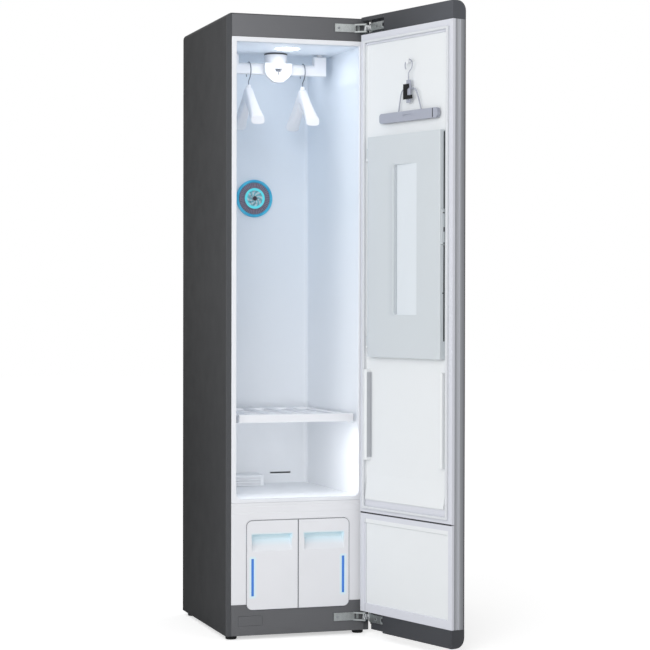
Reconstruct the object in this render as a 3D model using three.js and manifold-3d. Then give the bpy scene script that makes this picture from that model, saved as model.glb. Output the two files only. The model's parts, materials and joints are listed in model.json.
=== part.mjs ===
// Clothes care steam cabinet, standing on the floor with its door open.
// Millimetres. +X is the right hand side seen from the front, +Y runs from the front to the back, +Z is up.
// Every piece is drawn with the door shut. The groups at the end swing the door open about its links.

import * as THREE from 'three';
import { mergeVertices } from 'three/addons/utils/BufferGeometryUtils.js';
import Module from 'manifold-3d';

const wasm = await Module();
wasm.setup();

// Driving dimensions of the cabinet
const cabinet_width = 445;
const body_depth = 530;
const cabinet_height = 1850;
const under_gap = 12;
const steel_sheet = 2;
const moulded_wall = 3;
const seat_gap = 0.3;
const running_gap = 0.8;
const overrun = 20;

// The face of the cabinet
const stile_width = 16;
const header_height = 68;
const header_depth = 25;
const plinth_height = 92;
const plinth_flange = 25;
const trim_bar_width = 15.5;
const trim_top_bar = 14;
const trim_depth = 10;
const trim_corner_radius = 16;
const trim_top_radius = 4;

// The hanging compartment
const floor_height = 416;
const ceiling_drop = 84;
const ceiling_height = cabinet_height - ceiling_drop;
const rear_space = 45;
const compartment_depth = body_depth - rear_space;
const liner_draft = 11;
const liner_corner_radius = 14;
const rear_ceiling_drop = 24;

// The door
const door_gap = 8;
const door_thickness = 46;
const door_side_inset = 2;
const door_bottom = 21.5;
const door_cap_height = 52;
const door_split_drop = 45;
const door_split_height = floor_height - door_split_drop;
const door_split_gap = 2;
const door_open_turn = 106.8;

// Places worked out from the driving dimensions
const half_width = cabinet_width / 2;
const face_half_width = half_width - stile_width;
const opening_half_width = face_half_width - trim_bar_width;
const plinth_top = under_gap + plinth_height;
const header_bottom = cabinet_height - header_height;
const door_half_width = half_width - door_side_inset;
const door_inner_y = -door_gap;
const door_outer_y = -door_gap - door_thickness;

// Drawing helpers
const point = (x, y) => new THREE.Vector2(x, y);

function arc(centre_x, centre_y, radius, from_degrees, to_degrees, steps) {
  const points = [];
  for (let step = 0; step <= steps; step += 1) {
    const turn = THREE.MathUtils.degToRad(from_degrees + (to_degrees - from_degrees) * step / steps);
    points.push(point(centre_x + radius * Math.cos(turn), centre_y + radius * Math.sin(turn)));
  }
  return points;
}

function rounded(left, bottom, right, top, radius, top_radius = radius, steps = 4) {
  return [
    ...arc(left + radius, bottom + radius, radius, 180, 270, steps),
    ...arc(right - radius, bottom + radius, radius, 270, 360, steps),
    ...arc(right - top_radius, top - top_radius, top_radius, 0, 90, steps),
    ...arc(left + top_radius, top - top_radius, top_radius, 90, 180, steps),
  ];
}

function solid_of(geometry) {
  const bare = geometry.clone();
  bare.deleteAttribute('normal');
  bare.deleteAttribute('uv');
  const merged = mergeVertices(bare);
  const mesh = new wasm.Mesh({
    numProp: 3,
    vertProperties: new Float32Array(merged.attributes.position.array),
    triVerts: new Uint32Array(merged.index.array),
  });
  return new wasm.Manifold(mesh);
}

// A flat outline pushed along one axis. Its two numbers are the other two axes in X, Y, Z order.
function prism(axis, points, from, to) {
  const outline = new THREE.Shape(points);
  const geometry = new THREE.ExtrudeGeometry(outline, { depth: to - from, bevelEnabled: false });
  const turned = new THREE.Matrix4();
  if (axis === 'x') {
    turned.makeBasis(new THREE.Vector3(0, 1, 0), new THREE.Vector3(0, 0, 1), new THREE.Vector3(1, 0, 0));
    turned.setPosition(from, 0, 0);
  } else if (axis === 'y') {
    turned.makeBasis(new THREE.Vector3(1, 0, 0), new THREE.Vector3(0, 0, 1), new THREE.Vector3(0, -1, 0));
    turned.setPosition(0, to, 0);
  } else {
    turned.setPosition(0, 0, from);
  }
  geometry.applyMatrix4(turned);
  return solid_of(geometry);
}

function slab(x0, x1, y0, y1, z0, z1) {
  const geometry = new THREE.BoxGeometry(Math.abs(x1 - x0), Math.abs(y1 - y0), Math.abs(z1 - z0));
  geometry.translate((x0 + x1) / 2, (y0 + y1) / 2, (z0 + z1) / 2);
  return solid_of(geometry);
}

const mirrored = (points, sign) => points.map((each) => point(sign * each.x, each.y));
const sides = [['left', -1], ['right', 1]];

function rod(axis, first, second, radius, from, to, facets = 24) {
  return prism(axis, arc(first, second, radius, 0, 360 - 360 / facets, facets - 1), from, to);
}

// A turned piece: the profile holds radius and height, and starts and ends on the axis.
function turned_piece(profile, centre_x, centre_y, facets = 24) {
  const geometry = new THREE.LatheGeometry(profile.map(([radius, height]) => point(radius, height)), facets);
  geometry.rotateX(Math.PI / 2);
  geometry.translate(centre_x, centre_y, 0);
  return solid_of(geometry);
}

function wire(points, radius, steps, facets = 8) {
  const section = new THREE.Shape(arc(0, 0, radius, 0, 360 - 360 / facets, facets - 1));
  const path = new THREE.CatmullRomCurve3(points);
  return solid_of(new THREE.ExtrudeGeometry(section, { steps, extrudePath: path, bevelEnabled: false }));
}

const join = (first, ...others) => others.reduce((sum, other) => sum.add(other), first);
const cut = (first, ...others) => others.reduce((rest, other) => rest.subtract(other), first);

function geometry_of(solid) {
  const mesh = solid.getMesh();
  const geometry = new THREE.BufferGeometry();
  geometry.setAttribute('position', new THREE.BufferAttribute(mesh.vertProperties, 3));
  geometry.setIndex(new THREE.BufferAttribute(mesh.triVerts, 1));
  geometry.computeVertexNormals();
  return geometry;
}

const finish = {
  grey_steel: { color: 0x58595c, roughness: 0.45, metalness: 0.6 },
  dark_moulding: { color: 0x616266, roughness: 0.5, metalness: 0.1 },
  black_moulding: { color: 0x222327, roughness: 0.5, metalness: 0 },
  white_moulding: { color: 0xe4e6ec, roughness: 0.35, metalness: 0 },
  pale_press: { color: 0xd0d8db, roughness: 0.45, metalness: 0 },
  clear_tank: { color: 0xb9cbe0, roughness: 0.2, metalness: 0 },
  blue_lens: { color: 0x4078c8, roughness: 0.2, metalness: 0 },
  lamp_lens: { color: 0xffffff, roughness: 0.3, metalness: 0 },
  chrome: { color: 0xc8ccd0, roughness: 0.2, metalness: 0.95 },
  zinc_sheet: { color: 0x9aa0a4, roughness: 0.5, metalness: 0.8 },
  rubber: { color: 0x2a2a2c, roughness: 0.85, metalness: 0 },
  seal: { color: 0xd7dade, roughness: 0.7, metalness: 0 },
  glass: { color: 0x3c3d40, roughness: 0.08, metalness: 0.3 },
  grey_bar: { color: 0xafb4c4, roughness: 0.4, metalness: 0.2 },
  fins: { color: 0xc2c6ca, roughness: 0.4, metalness: 0.9 },
};

function add(group, name, solid, look) {
  const mesh = new THREE.Mesh(geometry_of(solid), new THREE.MeshStandardMaterial(finish[look]));
  mesh.name = name;
  group.add(mesh);
}

const cabinet = new THREE.Group();

// Sheet steel wrap: two sides with a front stile, a top and a back
const wrap_corner_radius = 16;
const wrap_rear_flange = 10;
const back_recess = 2;

for (const [side, sign] of sides) {
  const corner_x = half_width - wrap_corner_radius;
  const corner_z = cabinet_height - wrap_corner_radius;
  const block = prism('y', mirrored([
    point(face_half_width, under_gap),
    point(half_width, under_gap),
    ...arc(corner_x, corner_z, wrap_corner_radius, 0, 90, 5),
  ], sign), 0, body_depth);
  const hollow = prism('y', mirrored([
    point(face_half_width - overrun, under_gap - overrun),
    point(half_width - steel_sheet, under_gap - overrun),
    ...arc(corner_x, corner_z, wrap_corner_radius - steel_sheet, 0, 90, 5),
    point(face_half_width - overrun, cabinet_height - steel_sheet),
  ], sign), steel_sheet, body_depth - steel_sheet);
  const rear_opening = slab(sign * (face_half_width - overrun), sign * (half_width - wrap_rear_flange),
    body_depth - overrun, body_depth + overrun, under_gap - overrun, cabinet_height - steel_sheet * 2);
  add(cabinet, `side_panel_${side}`, cut(block, hollow, rear_opening), 'grey_steel');
}

const top_half = face_half_width - seat_gap;
const top_rear_flange = 12;
const top_skin = slab(-top_half, top_half, 0, body_depth, cabinet_height - steel_sheet, cabinet_height);
const top_lip = slab(-top_half, top_half, body_depth - steel_sheet, body_depth,
  cabinet_height - top_rear_flange, cabinet_height);
add(cabinet, 'top_cover', join(top_skin, top_lip), 'grey_steel');

const back_half = half_width - steel_sheet - seat_gap;
const back_y1 = body_depth - steel_sheet - seat_gap;
const back_y0 = back_y1 - back_recess;
const back_top = cabinet_height - steel_sheet - seat_gap - wrap_corner_radius;
const rib_depth = 4;
const rib_half_width = 12;
const rib_place_share = 0.5;
const vent_width = 60;
const vent_height = 6;
const vent_pitch = 16;
const vent_rows = 8;
const vent_bottom = 90;
const vent_place = 110;
const cord_hole_radius = 9;
const cord_hole_side = 170;
const cord_hole_drop = 110;
const back_sheet = slab(-back_half, back_half, back_y0, back_y1, under_gap, back_top);
const back_ribs = [];
for (const [, sign] of sides) {
  const rib_x = sign * back_half * rib_place_share;
  back_ribs.push(slab(rib_x - rib_half_width, rib_x + rib_half_width, back_y0 - rib_depth, back_y0,
    floor_height, back_top - floor_height * rib_place_share));
}
const vents = [];
for (let row = 0; row < vent_rows; row += 1) {
  const low = vent_bottom + row * vent_pitch;
  for (const [, sign] of sides) {
    vents.push(slab(sign * vent_place - vent_width / 2, sign * vent_place + vent_width / 2,
      back_y0 - overrun, back_y1 + overrun, low, low + vent_height));
  }
}
const cord_hole = rod('y', cord_hole_side, cabinet_height - cord_hole_drop, cord_hole_radius,
  back_y0 - overrun, back_y1 + overrun, 16);
add(cabinet, 'back_panel', cut(join(back_sheet, ...back_ribs), ...vents, cord_hole), 'zinc_sheet');

// Base pan with upturned edges, and the feet under it
const pan_sheet = 3;
const pan_edge_height = 25;
const pan_side_gap = 2;
const foot_radius = 17;
const foot_flat_radius = 13;
const foot_pad_height = 7;
const foot_stud_radius = 5;
const foot_stud_reach = 26;
const foot_side_inset = 24.5;
const foot_front_inset = 32;
const foot_rear_inset = 40;
const foot_taper = 2;
const foot_x = half_width - foot_side_inset;
const pan_half = half_width - steel_sheet - pan_side_gap;
const pan_bottom = under_gap + seat_gap;
const pan_top = pan_bottom + pan_sheet;
const pan_front = moulded_wall + seat_gap;
const pan_back = back_y0 - rib_depth - seat_gap;
const foot_places = [];
for (const [side, sign] of sides) {
  foot_places.push({ name: `front_foot_${side}`, x: sign * foot_x, y: foot_front_inset });
  foot_places.push({ name: `rear_foot_${side}`, x: sign * foot_x, y: body_depth - foot_rear_inset });
}
const pan_floor = slab(-pan_half, pan_half, pan_front, pan_back, pan_bottom, pan_top);
const pan_edges = cut(
  slab(-pan_half, pan_half, pan_front, pan_back, pan_bottom, pan_bottom + pan_edge_height),
  slab(-pan_half + pan_sheet, pan_half - pan_sheet, pan_front + pan_sheet, pan_back - pan_sheet,
    pan_bottom - overrun, pan_bottom + pan_edge_height + overrun),
);
const stud_holes = foot_places.map((place) => rod('z', place.x, place.y, foot_stud_radius + running_gap,
  pan_bottom - overrun, pan_top + overrun, 16));
add(cabinet, 'base_pan', cut(join(pan_floor, pan_edges), ...stud_holes), 'zinc_sheet');

for (const place of foot_places) {
  const profile = [
    [0, 0],
    [foot_radius - foot_taper, 0],
    [foot_radius, foot_taper],
    [foot_radius, foot_pad_height],
    [foot_stud_radius, foot_pad_height],
    [foot_stud_radius, under_gap + foot_stud_reach],
    [0, under_gap + foot_stud_reach],
  ];
  const flats = rod('z', place.x, place.y, foot_flat_radius, foot_pad_height - foot_taper, under_gap, 6);
  add(cabinet, place.name, join(turned_piece(profile, place.x, place.y, 20), flats), 'rubber');
}

// Dark fascia over the door opening and the plinth under it
const fascia_half = face_half_width - seat_gap;
const header_top = cabinet_height - steel_sheet - seat_gap;
const header = cut(
  slab(-fascia_half, fascia_half, 0, header_depth, header_bottom + seat_gap, header_top),
  slab(-fascia_half + moulded_wall, fascia_half - moulded_wall, moulded_wall, header_depth + overrun,
    header_bottom + seat_gap + moulded_wall, header_top - moulded_wall),
);
add(cabinet, 'front_header', header, 'dark_moulding');

// The pair of water tanks shares one rounded outline on the face
const module_side_gap = 31;
const module_overlap = 17;
const module_drop = 63;
const module_half_width = opening_half_width - module_side_gap;
const module_bottom = plinth_top - module_overlap;
const module_top = floor_height - module_drop;
const module_radius = 19;
const module_proud = 2;
const module_gap = running_gap;
const housing_wall = 3;
const housing_side = 4;
const machine_space = 200;
const housing_depth = body_depth - machine_space;
const module_outline = (grow) => rounded(-module_half_width - grow, module_bottom - grow,
  module_half_width + grow, module_top + grow, module_radius + grow);

const service_inset = 22;
const service_width = 74;
const service_rise = 29;
const service_height = 29;
const service_left = fascia_half - service_inset;
const service_right = service_left - service_width;
const service_bottom = under_gap + service_rise;
const service_top = service_bottom + service_height;
const service_radius = 3;
const service_outline = (shrink) => rounded(-service_left + shrink, service_bottom + shrink,
  -service_right - shrink, service_top - shrink, service_radius);
const kick_half = fascia_half;
const kick_face = slab(-kick_half, kick_half, 0, moulded_wall, under_gap, plinth_top - seat_gap);
const kick_flange = slab(-kick_half, kick_half, 0, plinth_flange,
  plinth_top - seat_gap - moulded_wall, plinth_top - seat_gap);
const kick_cuts = [
  prism('y', module_outline(module_gap), -overrun, plinth_flange + overrun),
  slab(-module_half_width - housing_side * 2, module_half_width + housing_side * 2, trim_depth,
    plinth_flange + overrun, module_bottom - housing_side * 2, plinth_top),
  prism('y', service_outline(0), -overrun, moulded_wall + overrun),
];
add(cabinet, 'kick_panel', cut(join(kick_face, kick_flange), ...kick_cuts), 'dark_moulding');
add(cabinet, 'service_cover', prism('y', service_outline(seat_gap), 0, moulded_wall), 'dark_moulding');

// White panel round the tanks, with two fine ledge grooves above them
const lower_panel_depth = 12;
const trim_sill = 11;
const lower_panel_top = floor_height - trim_sill;
const ledge_groove_drop = 21;
const ledge_groove_pitch = 20;
const ledge_groove_heights = [1, 0].map((row) => floor_height - ledge_groove_drop
  - row * ledge_groove_pitch);
const ledge_groove_depth = 1;
const ledge_groove_half = 1;
const panel_low = plinth_top;
const panel_profile = [point(lower_panel_depth, panel_low), point(0, panel_low)];
for (const height of ledge_groove_heights) {
  panel_profile.push(point(0, height - ledge_groove_half));
  panel_profile.push(point(ledge_groove_depth, height));
  panel_profile.push(point(0, height + ledge_groove_half));
}
panel_profile.push(point(0, lower_panel_top), point(lower_panel_depth, lower_panel_top));
const lower_panel = cut(
  prism('x', panel_profile, -fascia_half, fascia_half),
  cut(
    slab(-fascia_half + moulded_wall, fascia_half - moulded_wall, moulded_wall, lower_panel_depth + overrun,
      panel_low + moulded_wall, lower_panel_top - moulded_wall),
    prism('y', module_outline(module_gap + moulded_wall), -overrun, overrun * 2),
  ),
  prism('y', module_outline(module_gap), -overrun, lower_panel_depth + overrun),
);
add(cabinet, 'lower_front_panel', lower_panel, 'white_moulding');

// White trim round the mouth of the hanging compartment
const trim_bottom = lower_panel_top + seat_gap;
const trim_top = header_bottom - seat_gap;
const trim_ring = cut(
  slab(-fascia_half, fascia_half, 0, trim_depth, trim_bottom, trim_top),
  prism('y', rounded(-opening_half_width, floor_height, opening_half_width, header_bottom - trim_top_bar,
    trim_corner_radius, trim_top_radius), -overrun, trim_depth + overrun),
);
add(cabinet, 'front_trim', trim_ring, 'white_moulding');

// Liner: one moulded shell with drafted walls, rounded rear corners and a ceiling that slopes at the rear
const liner_front = trim_depth + seat_gap;
const liner_rear_half = opening_half_width - liner_draft;
const bar_y = compartment_depth / 2;
const hub_radius = 35;
const hub_space = 5;
const rear_ceiling_start = bar_y + hub_radius + hub_space;
const rear_ceiling = ceiling_height - rear_ceiling_drop;
const wall_half_at = (y) => opening_half_width - liner_draft * y / compartment_depth;
const liner_plan = (grow, front) => {
  const corner_x = liner_rear_half - liner_corner_radius;
  const corner_y = compartment_depth - liner_corner_radius;
  const corner = arc(corner_x, corner_y, liner_corner_radius + grow, 0, 90, 4);
  const right = [point(opening_half_width + grow, front), ...corner];
  return [...right, ...mirrored(right, -1).reverse()];
};
const liner_side = (grow, front, rear) => [
  point(front, floor_height - grow),
  point(rear, floor_height - grow),
  point(rear, rear_ceiling + grow),
  point(rear_ceiling_start, ceiling_height + grow),
  point(front, ceiling_height + grow),
];
const liner_block = (grow, front, rear) => prism('z', liner_plan(grow, front),
  floor_height - grow, ceiling_height + grow).intersect(prism('x', liner_side(grow, front, rear),
  -cabinet_width, cabinet_width));
const liner_outer = liner_block(moulded_wall, liner_front, compartment_depth + moulded_wall);
const liner_inner = liner_block(0, -overrun, compartment_depth);

const ledge_height = 4;
const ledge_width = 14;
const ledge_front = 40;
const ledge_back_gap = 15;
const shelf_rise = 224;
const shelf_rim_bottom = floor_height + shelf_rise;
const ledges = [];
for (const [, sign] of sides) {
  ledges.push(slab(sign * (liner_rear_half - ledge_width), sign * (opening_half_width + moulded_wall),
    ledge_front, compartment_depth - ledge_back_gap, shelf_rim_bottom - ledge_height, shelf_rim_bottom));
}

// Lamp in the ceiling
const lamp_y = 118;
const lamp_radius = 41;
const lamp_plug_radius = 37.5;
const lamp_face_radius = 31;
const lamp_drop = 3.5;
const lamp_rim = 1.6;
const lamp_plug_top = ceiling_height + moulded_wall + lamp_rim;

// The moving hanger bar hangs from two posts in ceiling slots and a hub under a crank
const bar_end_gap = 20;
const bar_drop = 31;
const bar_height = 35;
const bar_half_length = liner_rear_half - bar_end_gap;
const bar_top = ceiling_height - bar_drop;
const bar_bottom = bar_top - bar_height;
const bar_half_depth = 12;
const bar_foot_radius = 4;
const bar_travel = 12;
const post_width = 38;
const post_gap = 5;
const post_top = ceiling_height - post_gap;
const post_corner_radius = 6;
const neck_half_width = 6;
const neck_half_depth = 5;
const head_half_width = 11;
const head_half_depth = 10;
const head_bottom = ceiling_height + moulded_wall + seat_gap;
const head_height = 4;
const head_top = head_bottom + head_height;
const post_x = bar_half_length - post_width / 2;
const slot_half = neck_half_width + bar_travel + running_gap;
const hub_height = 49;
const hub_bottom = ceiling_height - hub_height;
const hub_top = ceiling_height - 2 * running_gap;
const crank_throw = 14;
const crank_disc_radius = 20;
const crank_pin_radius = 3;
const crank_pin_depth = 8;
const crank_shaft_radius = 4;
const crank_shaft_reach = 20;
const crank_hole_radius = 24;
const crank_bottom = ceiling_height + running_gap;
const crank_disc_top = 6;
const crank_top = ceiling_height + crank_disc_top;

const outlet_drop = 435;
const outlet_height = ceiling_height - outlet_drop;
const outlet_radius = 60;
const outlet_band = 9;
const outlet_hole_radius = 47;
const steam_slot_left = 55;
const steam_slot_right = 124;
const steam_slot_rise = 31;
const steam_slot_bottom = floor_height + steam_slot_rise;
const steam_slot_height = 5;
const intake_right = 10;
const intake_depth = 85;
const intake_height = 34;
const intake_front = compartment_depth - intake_depth;
const intake_top = floor_height + intake_height;
const intake_wall = 3;
const intake_hole_inset = 22;
const intake_rear = compartment_depth - running_gap;
const intake_left = wall_half_at(compartment_depth) - liner_corner_radius;

const ceiling_cuts = [
  rod('z', 0, lamp_y, lamp_plug_radius + running_gap, ceiling_height - overrun, ceiling_height + overrun),
  rod('z', 0, bar_y, crank_hole_radius, ceiling_height - overrun, ceiling_height + overrun),
];
for (const [, sign] of sides) {
  ceiling_cuts.push(slab(sign * post_x - slot_half, sign * post_x + slot_half,
    bar_y - neck_half_depth - running_gap, bar_y + neck_half_depth + running_gap,
    ceiling_height - overrun, ceiling_height + overrun));
}
const liner_cuts = [
  ...ceiling_cuts,
  rod('y', 0, outlet_height, outlet_hole_radius, compartment_depth - overrun, compartment_depth + overrun),
  slab(steam_slot_left, steam_slot_right, compartment_depth - overrun, compartment_depth + overrun,
    steam_slot_bottom, steam_slot_bottom + steam_slot_height),
  slab(-intake_left + intake_hole_inset, intake_right - intake_hole_inset,
    intake_front + intake_wall * 2, intake_rear - intake_wall * 2, floor_height - overrun,
      floor_height + overrun),
];
const liner_ledges = join(...ledges).intersect(liner_outer);
add(cabinet, 'inner_liner', cut(join(cut(liner_outer, liner_inner), liner_ledges), ...liner_cuts),
  'white_moulding');

add(cabinet, 'ceiling_lamp', turned_piece([
  [0, ceiling_height - lamp_drop],
  [lamp_face_radius, ceiling_height - lamp_drop],
  [lamp_radius, ceiling_height - seat_gap - lamp_rim],
  [lamp_radius, ceiling_height - seat_gap],
  [lamp_plug_radius, ceiling_height - seat_gap],
  [lamp_plug_radius, lamp_plug_top],
  [0, lamp_plug_top],
], 0, lamp_y, 28), 'lamp_lens');

// Motor over the ceiling with the crank in its skirt
const motor_radius = 37;
const motor_skirt_radius = 30;
const motor_bottom = ceiling_height + moulded_wall + seat_gap;
const motor_top_gap = 14;
const motor_top = cabinet_height - motor_top_gap;
const motor_roof = crank_top + running_gap;
const drive_motor = cut(
  rod('z', 0, bar_y, motor_radius, motor_bottom, motor_top, 28),
  rod('z', 0, bar_y, motor_skirt_radius, motor_bottom - overrun, motor_roof, 28),
  rod('z', 0, bar_y, crank_shaft_radius + seat_gap, motor_roof - overrun,
    crank_top + crank_shaft_reach + running_gap, 16),
);
add(cabinet, 'drive_motor', drive_motor, 'zinc_sheet');
const drive_crank = join(
  rod('z', 0, bar_y, crank_disc_radius, crank_bottom, crank_top, 28),
  rod('z', 0, bar_y, crank_shaft_radius, crank_top, crank_top + crank_shaft_reach, 16),
  rod('z', 0, bar_y - crank_throw, crank_pin_radius, hub_top - crank_pin_depth, crank_bottom, 16),
);
add(cabinet, 'drive_crank', drive_crank, 'zinc_sheet');

const bar_outline = (grow) => [
  ...arc(bar_y - bar_half_depth + bar_foot_radius, bar_bottom + bar_foot_radius, bar_foot_radius + grow, 180,
    270, 3),
  ...arc(bar_y + bar_half_depth - bar_foot_radius, bar_bottom + bar_foot_radius, bar_foot_radius + grow, 270,
    360, 3),
  ...arc(bar_y, bar_top - bar_half_depth, bar_half_depth + grow, 0, 180, 10),
];
const bar_pieces = [prism('x', bar_outline(0), -bar_half_length, bar_half_length)];
for (const [, sign] of sides) {
  bar_pieces.push(prism('x', rounded(bar_y - bar_half_depth, (bar_bottom + bar_top) / 2,
    bar_y + bar_half_depth, post_top, post_corner_radius),
  sign * post_x - post_width / 2, sign * post_x + post_width / 2));
  bar_pieces.push(slab(sign * post_x - neck_half_width, sign * post_x + neck_half_width,
    bar_y - neck_half_depth, bar_y + neck_half_depth, bar_top, head_top));
  bar_pieces.push(slab(sign * post_x - head_half_width, sign * post_x + head_half_width,
    bar_y - head_half_depth, bar_y + head_half_depth, head_bottom, head_top));
}
add(cabinet, 'hanger_bar', join(...bar_pieces), 'white_moulding');

const pin_clear = crank_pin_radius + running_gap;
const hub = cut(
  rod('z', 0, bar_y, hub_radius, hub_bottom, hub_top, 32),
  prism('x', bar_outline(seat_gap), -cabinet_width, cabinet_width),
  slab(-pin_clear, pin_clear, bar_y - crank_throw - pin_clear * 2, bar_y,
    hub_top - crank_pin_depth - running_gap, hub_top + overrun),
);
add(cabinet, 'bar_hub', hub, 'white_moulding');

const cover_half_width = 43;
const cover_drop = 1;
const cover_height = 59.5;
const cover_reach = 31;
const cover_top = bar_top - cover_drop;
const cover_bottom = cover_top - cover_height;
const cover_front = bar_y - cover_reach;
const cover_notch_depth = 7;
const cover_slot_half_width = 1.5;
const cover_shares = [[-1, 1], [-1, 0.5], [-0.8, 0.28], [-0.35, 0.02], [0, 0], [0.35, 0.02], [0.8, 0.28],
  [1, 0.5], [1, 1]];
const notch_shares = [[-0.27, 0.77], [-0.2, 0.55], [0.2, 0.55], [0.27, 0.77]];
const cover_points = (shares) => shares.map(([across, up]) => point(across * cover_half_width,
  cover_bottom + up * (cover_top - cover_bottom)));
const cover_slot_shares = [0.39, 0.55];
const [cover_slot_bottom, cover_slot_top] = cover_slot_shares.map((share) => cover_bottom
  + share * (cover_top - cover_bottom));
const centre_cover = cut(
  prism('y', cover_points(cover_shares), cover_front, bar_y - bar_half_depth - seat_gap),
  prism('y', cover_points(notch_shares), cover_front - overrun, cover_front + cover_notch_depth),
  slab(-cover_slot_half_width, cover_slot_half_width, cover_front - overrun, bar_y, cover_slot_bottom,
    cover_slot_top),
  rod('z', 0, bar_y, hub_radius + seat_gap, hub_bottom - seat_gap, cover_top + overrun, 32),
);
add(cabinet, 'bar_centre_cover', centre_cover, 'white_moulding');

// Two garment hangers on the bar, each a wire hook in a contoured body
const hanger_inset = 73;
const hanger_place = bar_half_length - hanger_inset;
const hook_wire_radius = 1.6;
const hook_radius = 27;
const hook_play = 0.6;
const hook_centre = bar_top + hook_play + hook_wire_radius - hook_radius;
const hook_tip_turn = -35;
const hook_end_turn = 232;
const hook_bends = 9;
const hanger_neck_drop = 67;
const hanger_top = bar_top - hanger_neck_drop;
const hanger_reach = 106;
const hanger_drop = 132;
const hanger_neck_half = 9;
const hanger_tip_half = 23;
const hanger_waist = 12;
const shoulder_shares = [[0, 0], [0.1, 0], [0.17, 0.05], [0.46, 0.3], [0.74, 0.56], [0.92, 0.78], [1, 0.93],
  [0.98, 1], [0.74, 1], [0.64, 0.9], [0.36, 0.52], [0, 0.34]];
const shoulder_side = shoulder_shares.map(([out, down]) => point(out * hanger_reach,
  hanger_top - down * hanger_drop));
const shoulder_outline = [
  ...shoulder_side.map((each) => point(bar_y + each.x, each.y)),
  ...shoulder_side.slice(1, -1).reverse().map((each) => point(bar_y - each.x, each.y)),
];

for (const [side, sign] of sides) {
  const centre_x = sign * hanger_place;
  const hook_points = arc(bar_y, hook_centre, hook_radius, hook_tip_turn, hook_end_turn, hook_bends)
    .map((each) => new THREE.Vector3(centre_x, each.x, each.y));
  const neck_height = (hanger_top + hook_centre - hook_radius) / 2;
  hook_points.push(new THREE.Vector3(centre_x, bar_y, neck_height + hook_wire_radius));
  hook_points.push(new THREE.Vector3(centre_x, bar_y, hanger_top + seat_gap));
  add(cabinet, `hanger_hook_${side}`, wire(hook_points, hook_wire_radius, 24), 'black_moulding');

  const plan = [];
  for (const [end, out] of [[1, hanger_reach], [-1, hanger_reach]]) {
    plan.push(point(centre_x + end * hanger_neck_half, bar_y - end * hanger_waist));
    plan.push(point(centre_x + end * hanger_neck_half, bar_y + end * hanger_waist));
    plan.push(point(centre_x + end * hanger_tip_half, bar_y + end * out));
    plan.push(point(centre_x - end * hanger_tip_half, bar_y + end * out));
  }
  const body = prism('x', shoulder_outline, centre_x - hanger_tip_half, centre_x + hanger_tip_half)
    .intersect(prism('z', plan, hanger_top - hanger_drop - overrun, hanger_top + overrun));
  add(cabinet, `garment_hanger_${side}`, body, 'white_moulding');
}

// Round air outlet on the rear wall: a lit ring round a grille with a hub
const outlet_y = compartment_depth - seat_gap;
const ring_depth = 8;
const ring_bevel = 2;
const grille_depth = 6;
const grille_hub_radius = 30;
const grille_hub_depth = 10;
const grille_slots = 12;
const grille_slot_inner = 34;
const grille_slot_outer = 46;
const grille_slot_half = 2.5;
const hub_holes = 8;
const hub_hole_radius = 2.4;
const hub_hole_ring = 13;
const ring_profile = [
  point(outlet_radius, 0),
  point(outlet_radius, ring_depth - ring_bevel),
  point(outlet_radius - ring_bevel, ring_depth),
  point(outlet_radius - outlet_band + ring_bevel, ring_depth),
  point(outlet_radius - outlet_band, ring_depth - ring_bevel),
  point(outlet_radius - outlet_band, 0),
  point(outlet_radius, 0),
];
const ring_geometry = new THREE.LatheGeometry(ring_profile, 36);
ring_geometry.rotateX(Math.PI);
ring_geometry.translate(0, outlet_y, outlet_height);
add(cabinet, 'outlet_light_ring', solid_of(ring_geometry), 'blue_lens');
const grille_radius = outlet_radius - outlet_band - seat_gap;
const grille_cuts = [];
for (let slot = 0; slot < grille_slots; slot += 1) {
  const turn = 2 * Math.PI * slot / grille_slots;
  const along = point(Math.cos(turn), Math.sin(turn));
  const across = point(-along.y, along.x);
  const corner = (out, over) => point(along.x * out + across.x * over,
    outlet_height + along.y * out + across.y * over);
  grille_cuts.push(prism('y', [
    corner(grille_slot_inner, -grille_slot_half),
    corner(grille_slot_outer, -grille_slot_half),
    corner(grille_slot_outer, grille_slot_half),
    corner(grille_slot_inner, grille_slot_half),
  ], outlet_y - grille_depth - overrun, outlet_y + overrun));
}
for (let hole = 0; hole < hub_holes; hole += 1) {
  const turn = 2 * Math.PI * hole / hub_holes;
  grille_cuts.push(rod('y', hub_hole_ring * Math.cos(turn), outlet_height + hub_hole_ring * Math.sin(turn),
    hub_hole_radius, outlet_y - grille_hub_depth - overrun, outlet_y + overrun, 8));
}
const grille = cut(join(
  rod('y', 0, outlet_height, grille_radius, outlet_y - grille_depth, outlet_y, 36),
  rod('y', 0, outlet_height, grille_hub_radius, outlet_y - grille_hub_depth, outlet_y, 28),
), ...grille_cuts);
add(cabinet, 'outlet_grille', grille, 'black_moulding');

// Air intake box with louvres at the rear of the compartment floor
const intake_half = intake_left;
const intake_bottom = floor_height + seat_gap;
const louvre_count = 3;
const louvre_height = 4;
const louvre_inset = 12;
const louvre_pitch = (intake_top - floor_height) / (louvre_count + 1);
const louvres = [];
for (let row = 1; row <= louvre_count; row += 1) {
  const middle = intake_bottom + row * louvre_pitch - louvre_height / 2;
  louvres.push(slab(-intake_half + louvre_inset, intake_right - louvre_inset, intake_front - overrun,
    intake_front + intake_wall + overrun / 2, middle - louvre_height / 2, middle + louvre_height / 2));
}
add(cabinet, 'intake_grille', cut(
  slab(-intake_half, intake_right, intake_front, intake_rear, intake_bottom, intake_top),
  slab(-intake_half + intake_wall, intake_right - intake_wall, intake_front + intake_wall,
    intake_rear - intake_wall, intake_bottom - overrun, intake_top - intake_wall),
  ...louvres,
), 'white_moulding');

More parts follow.
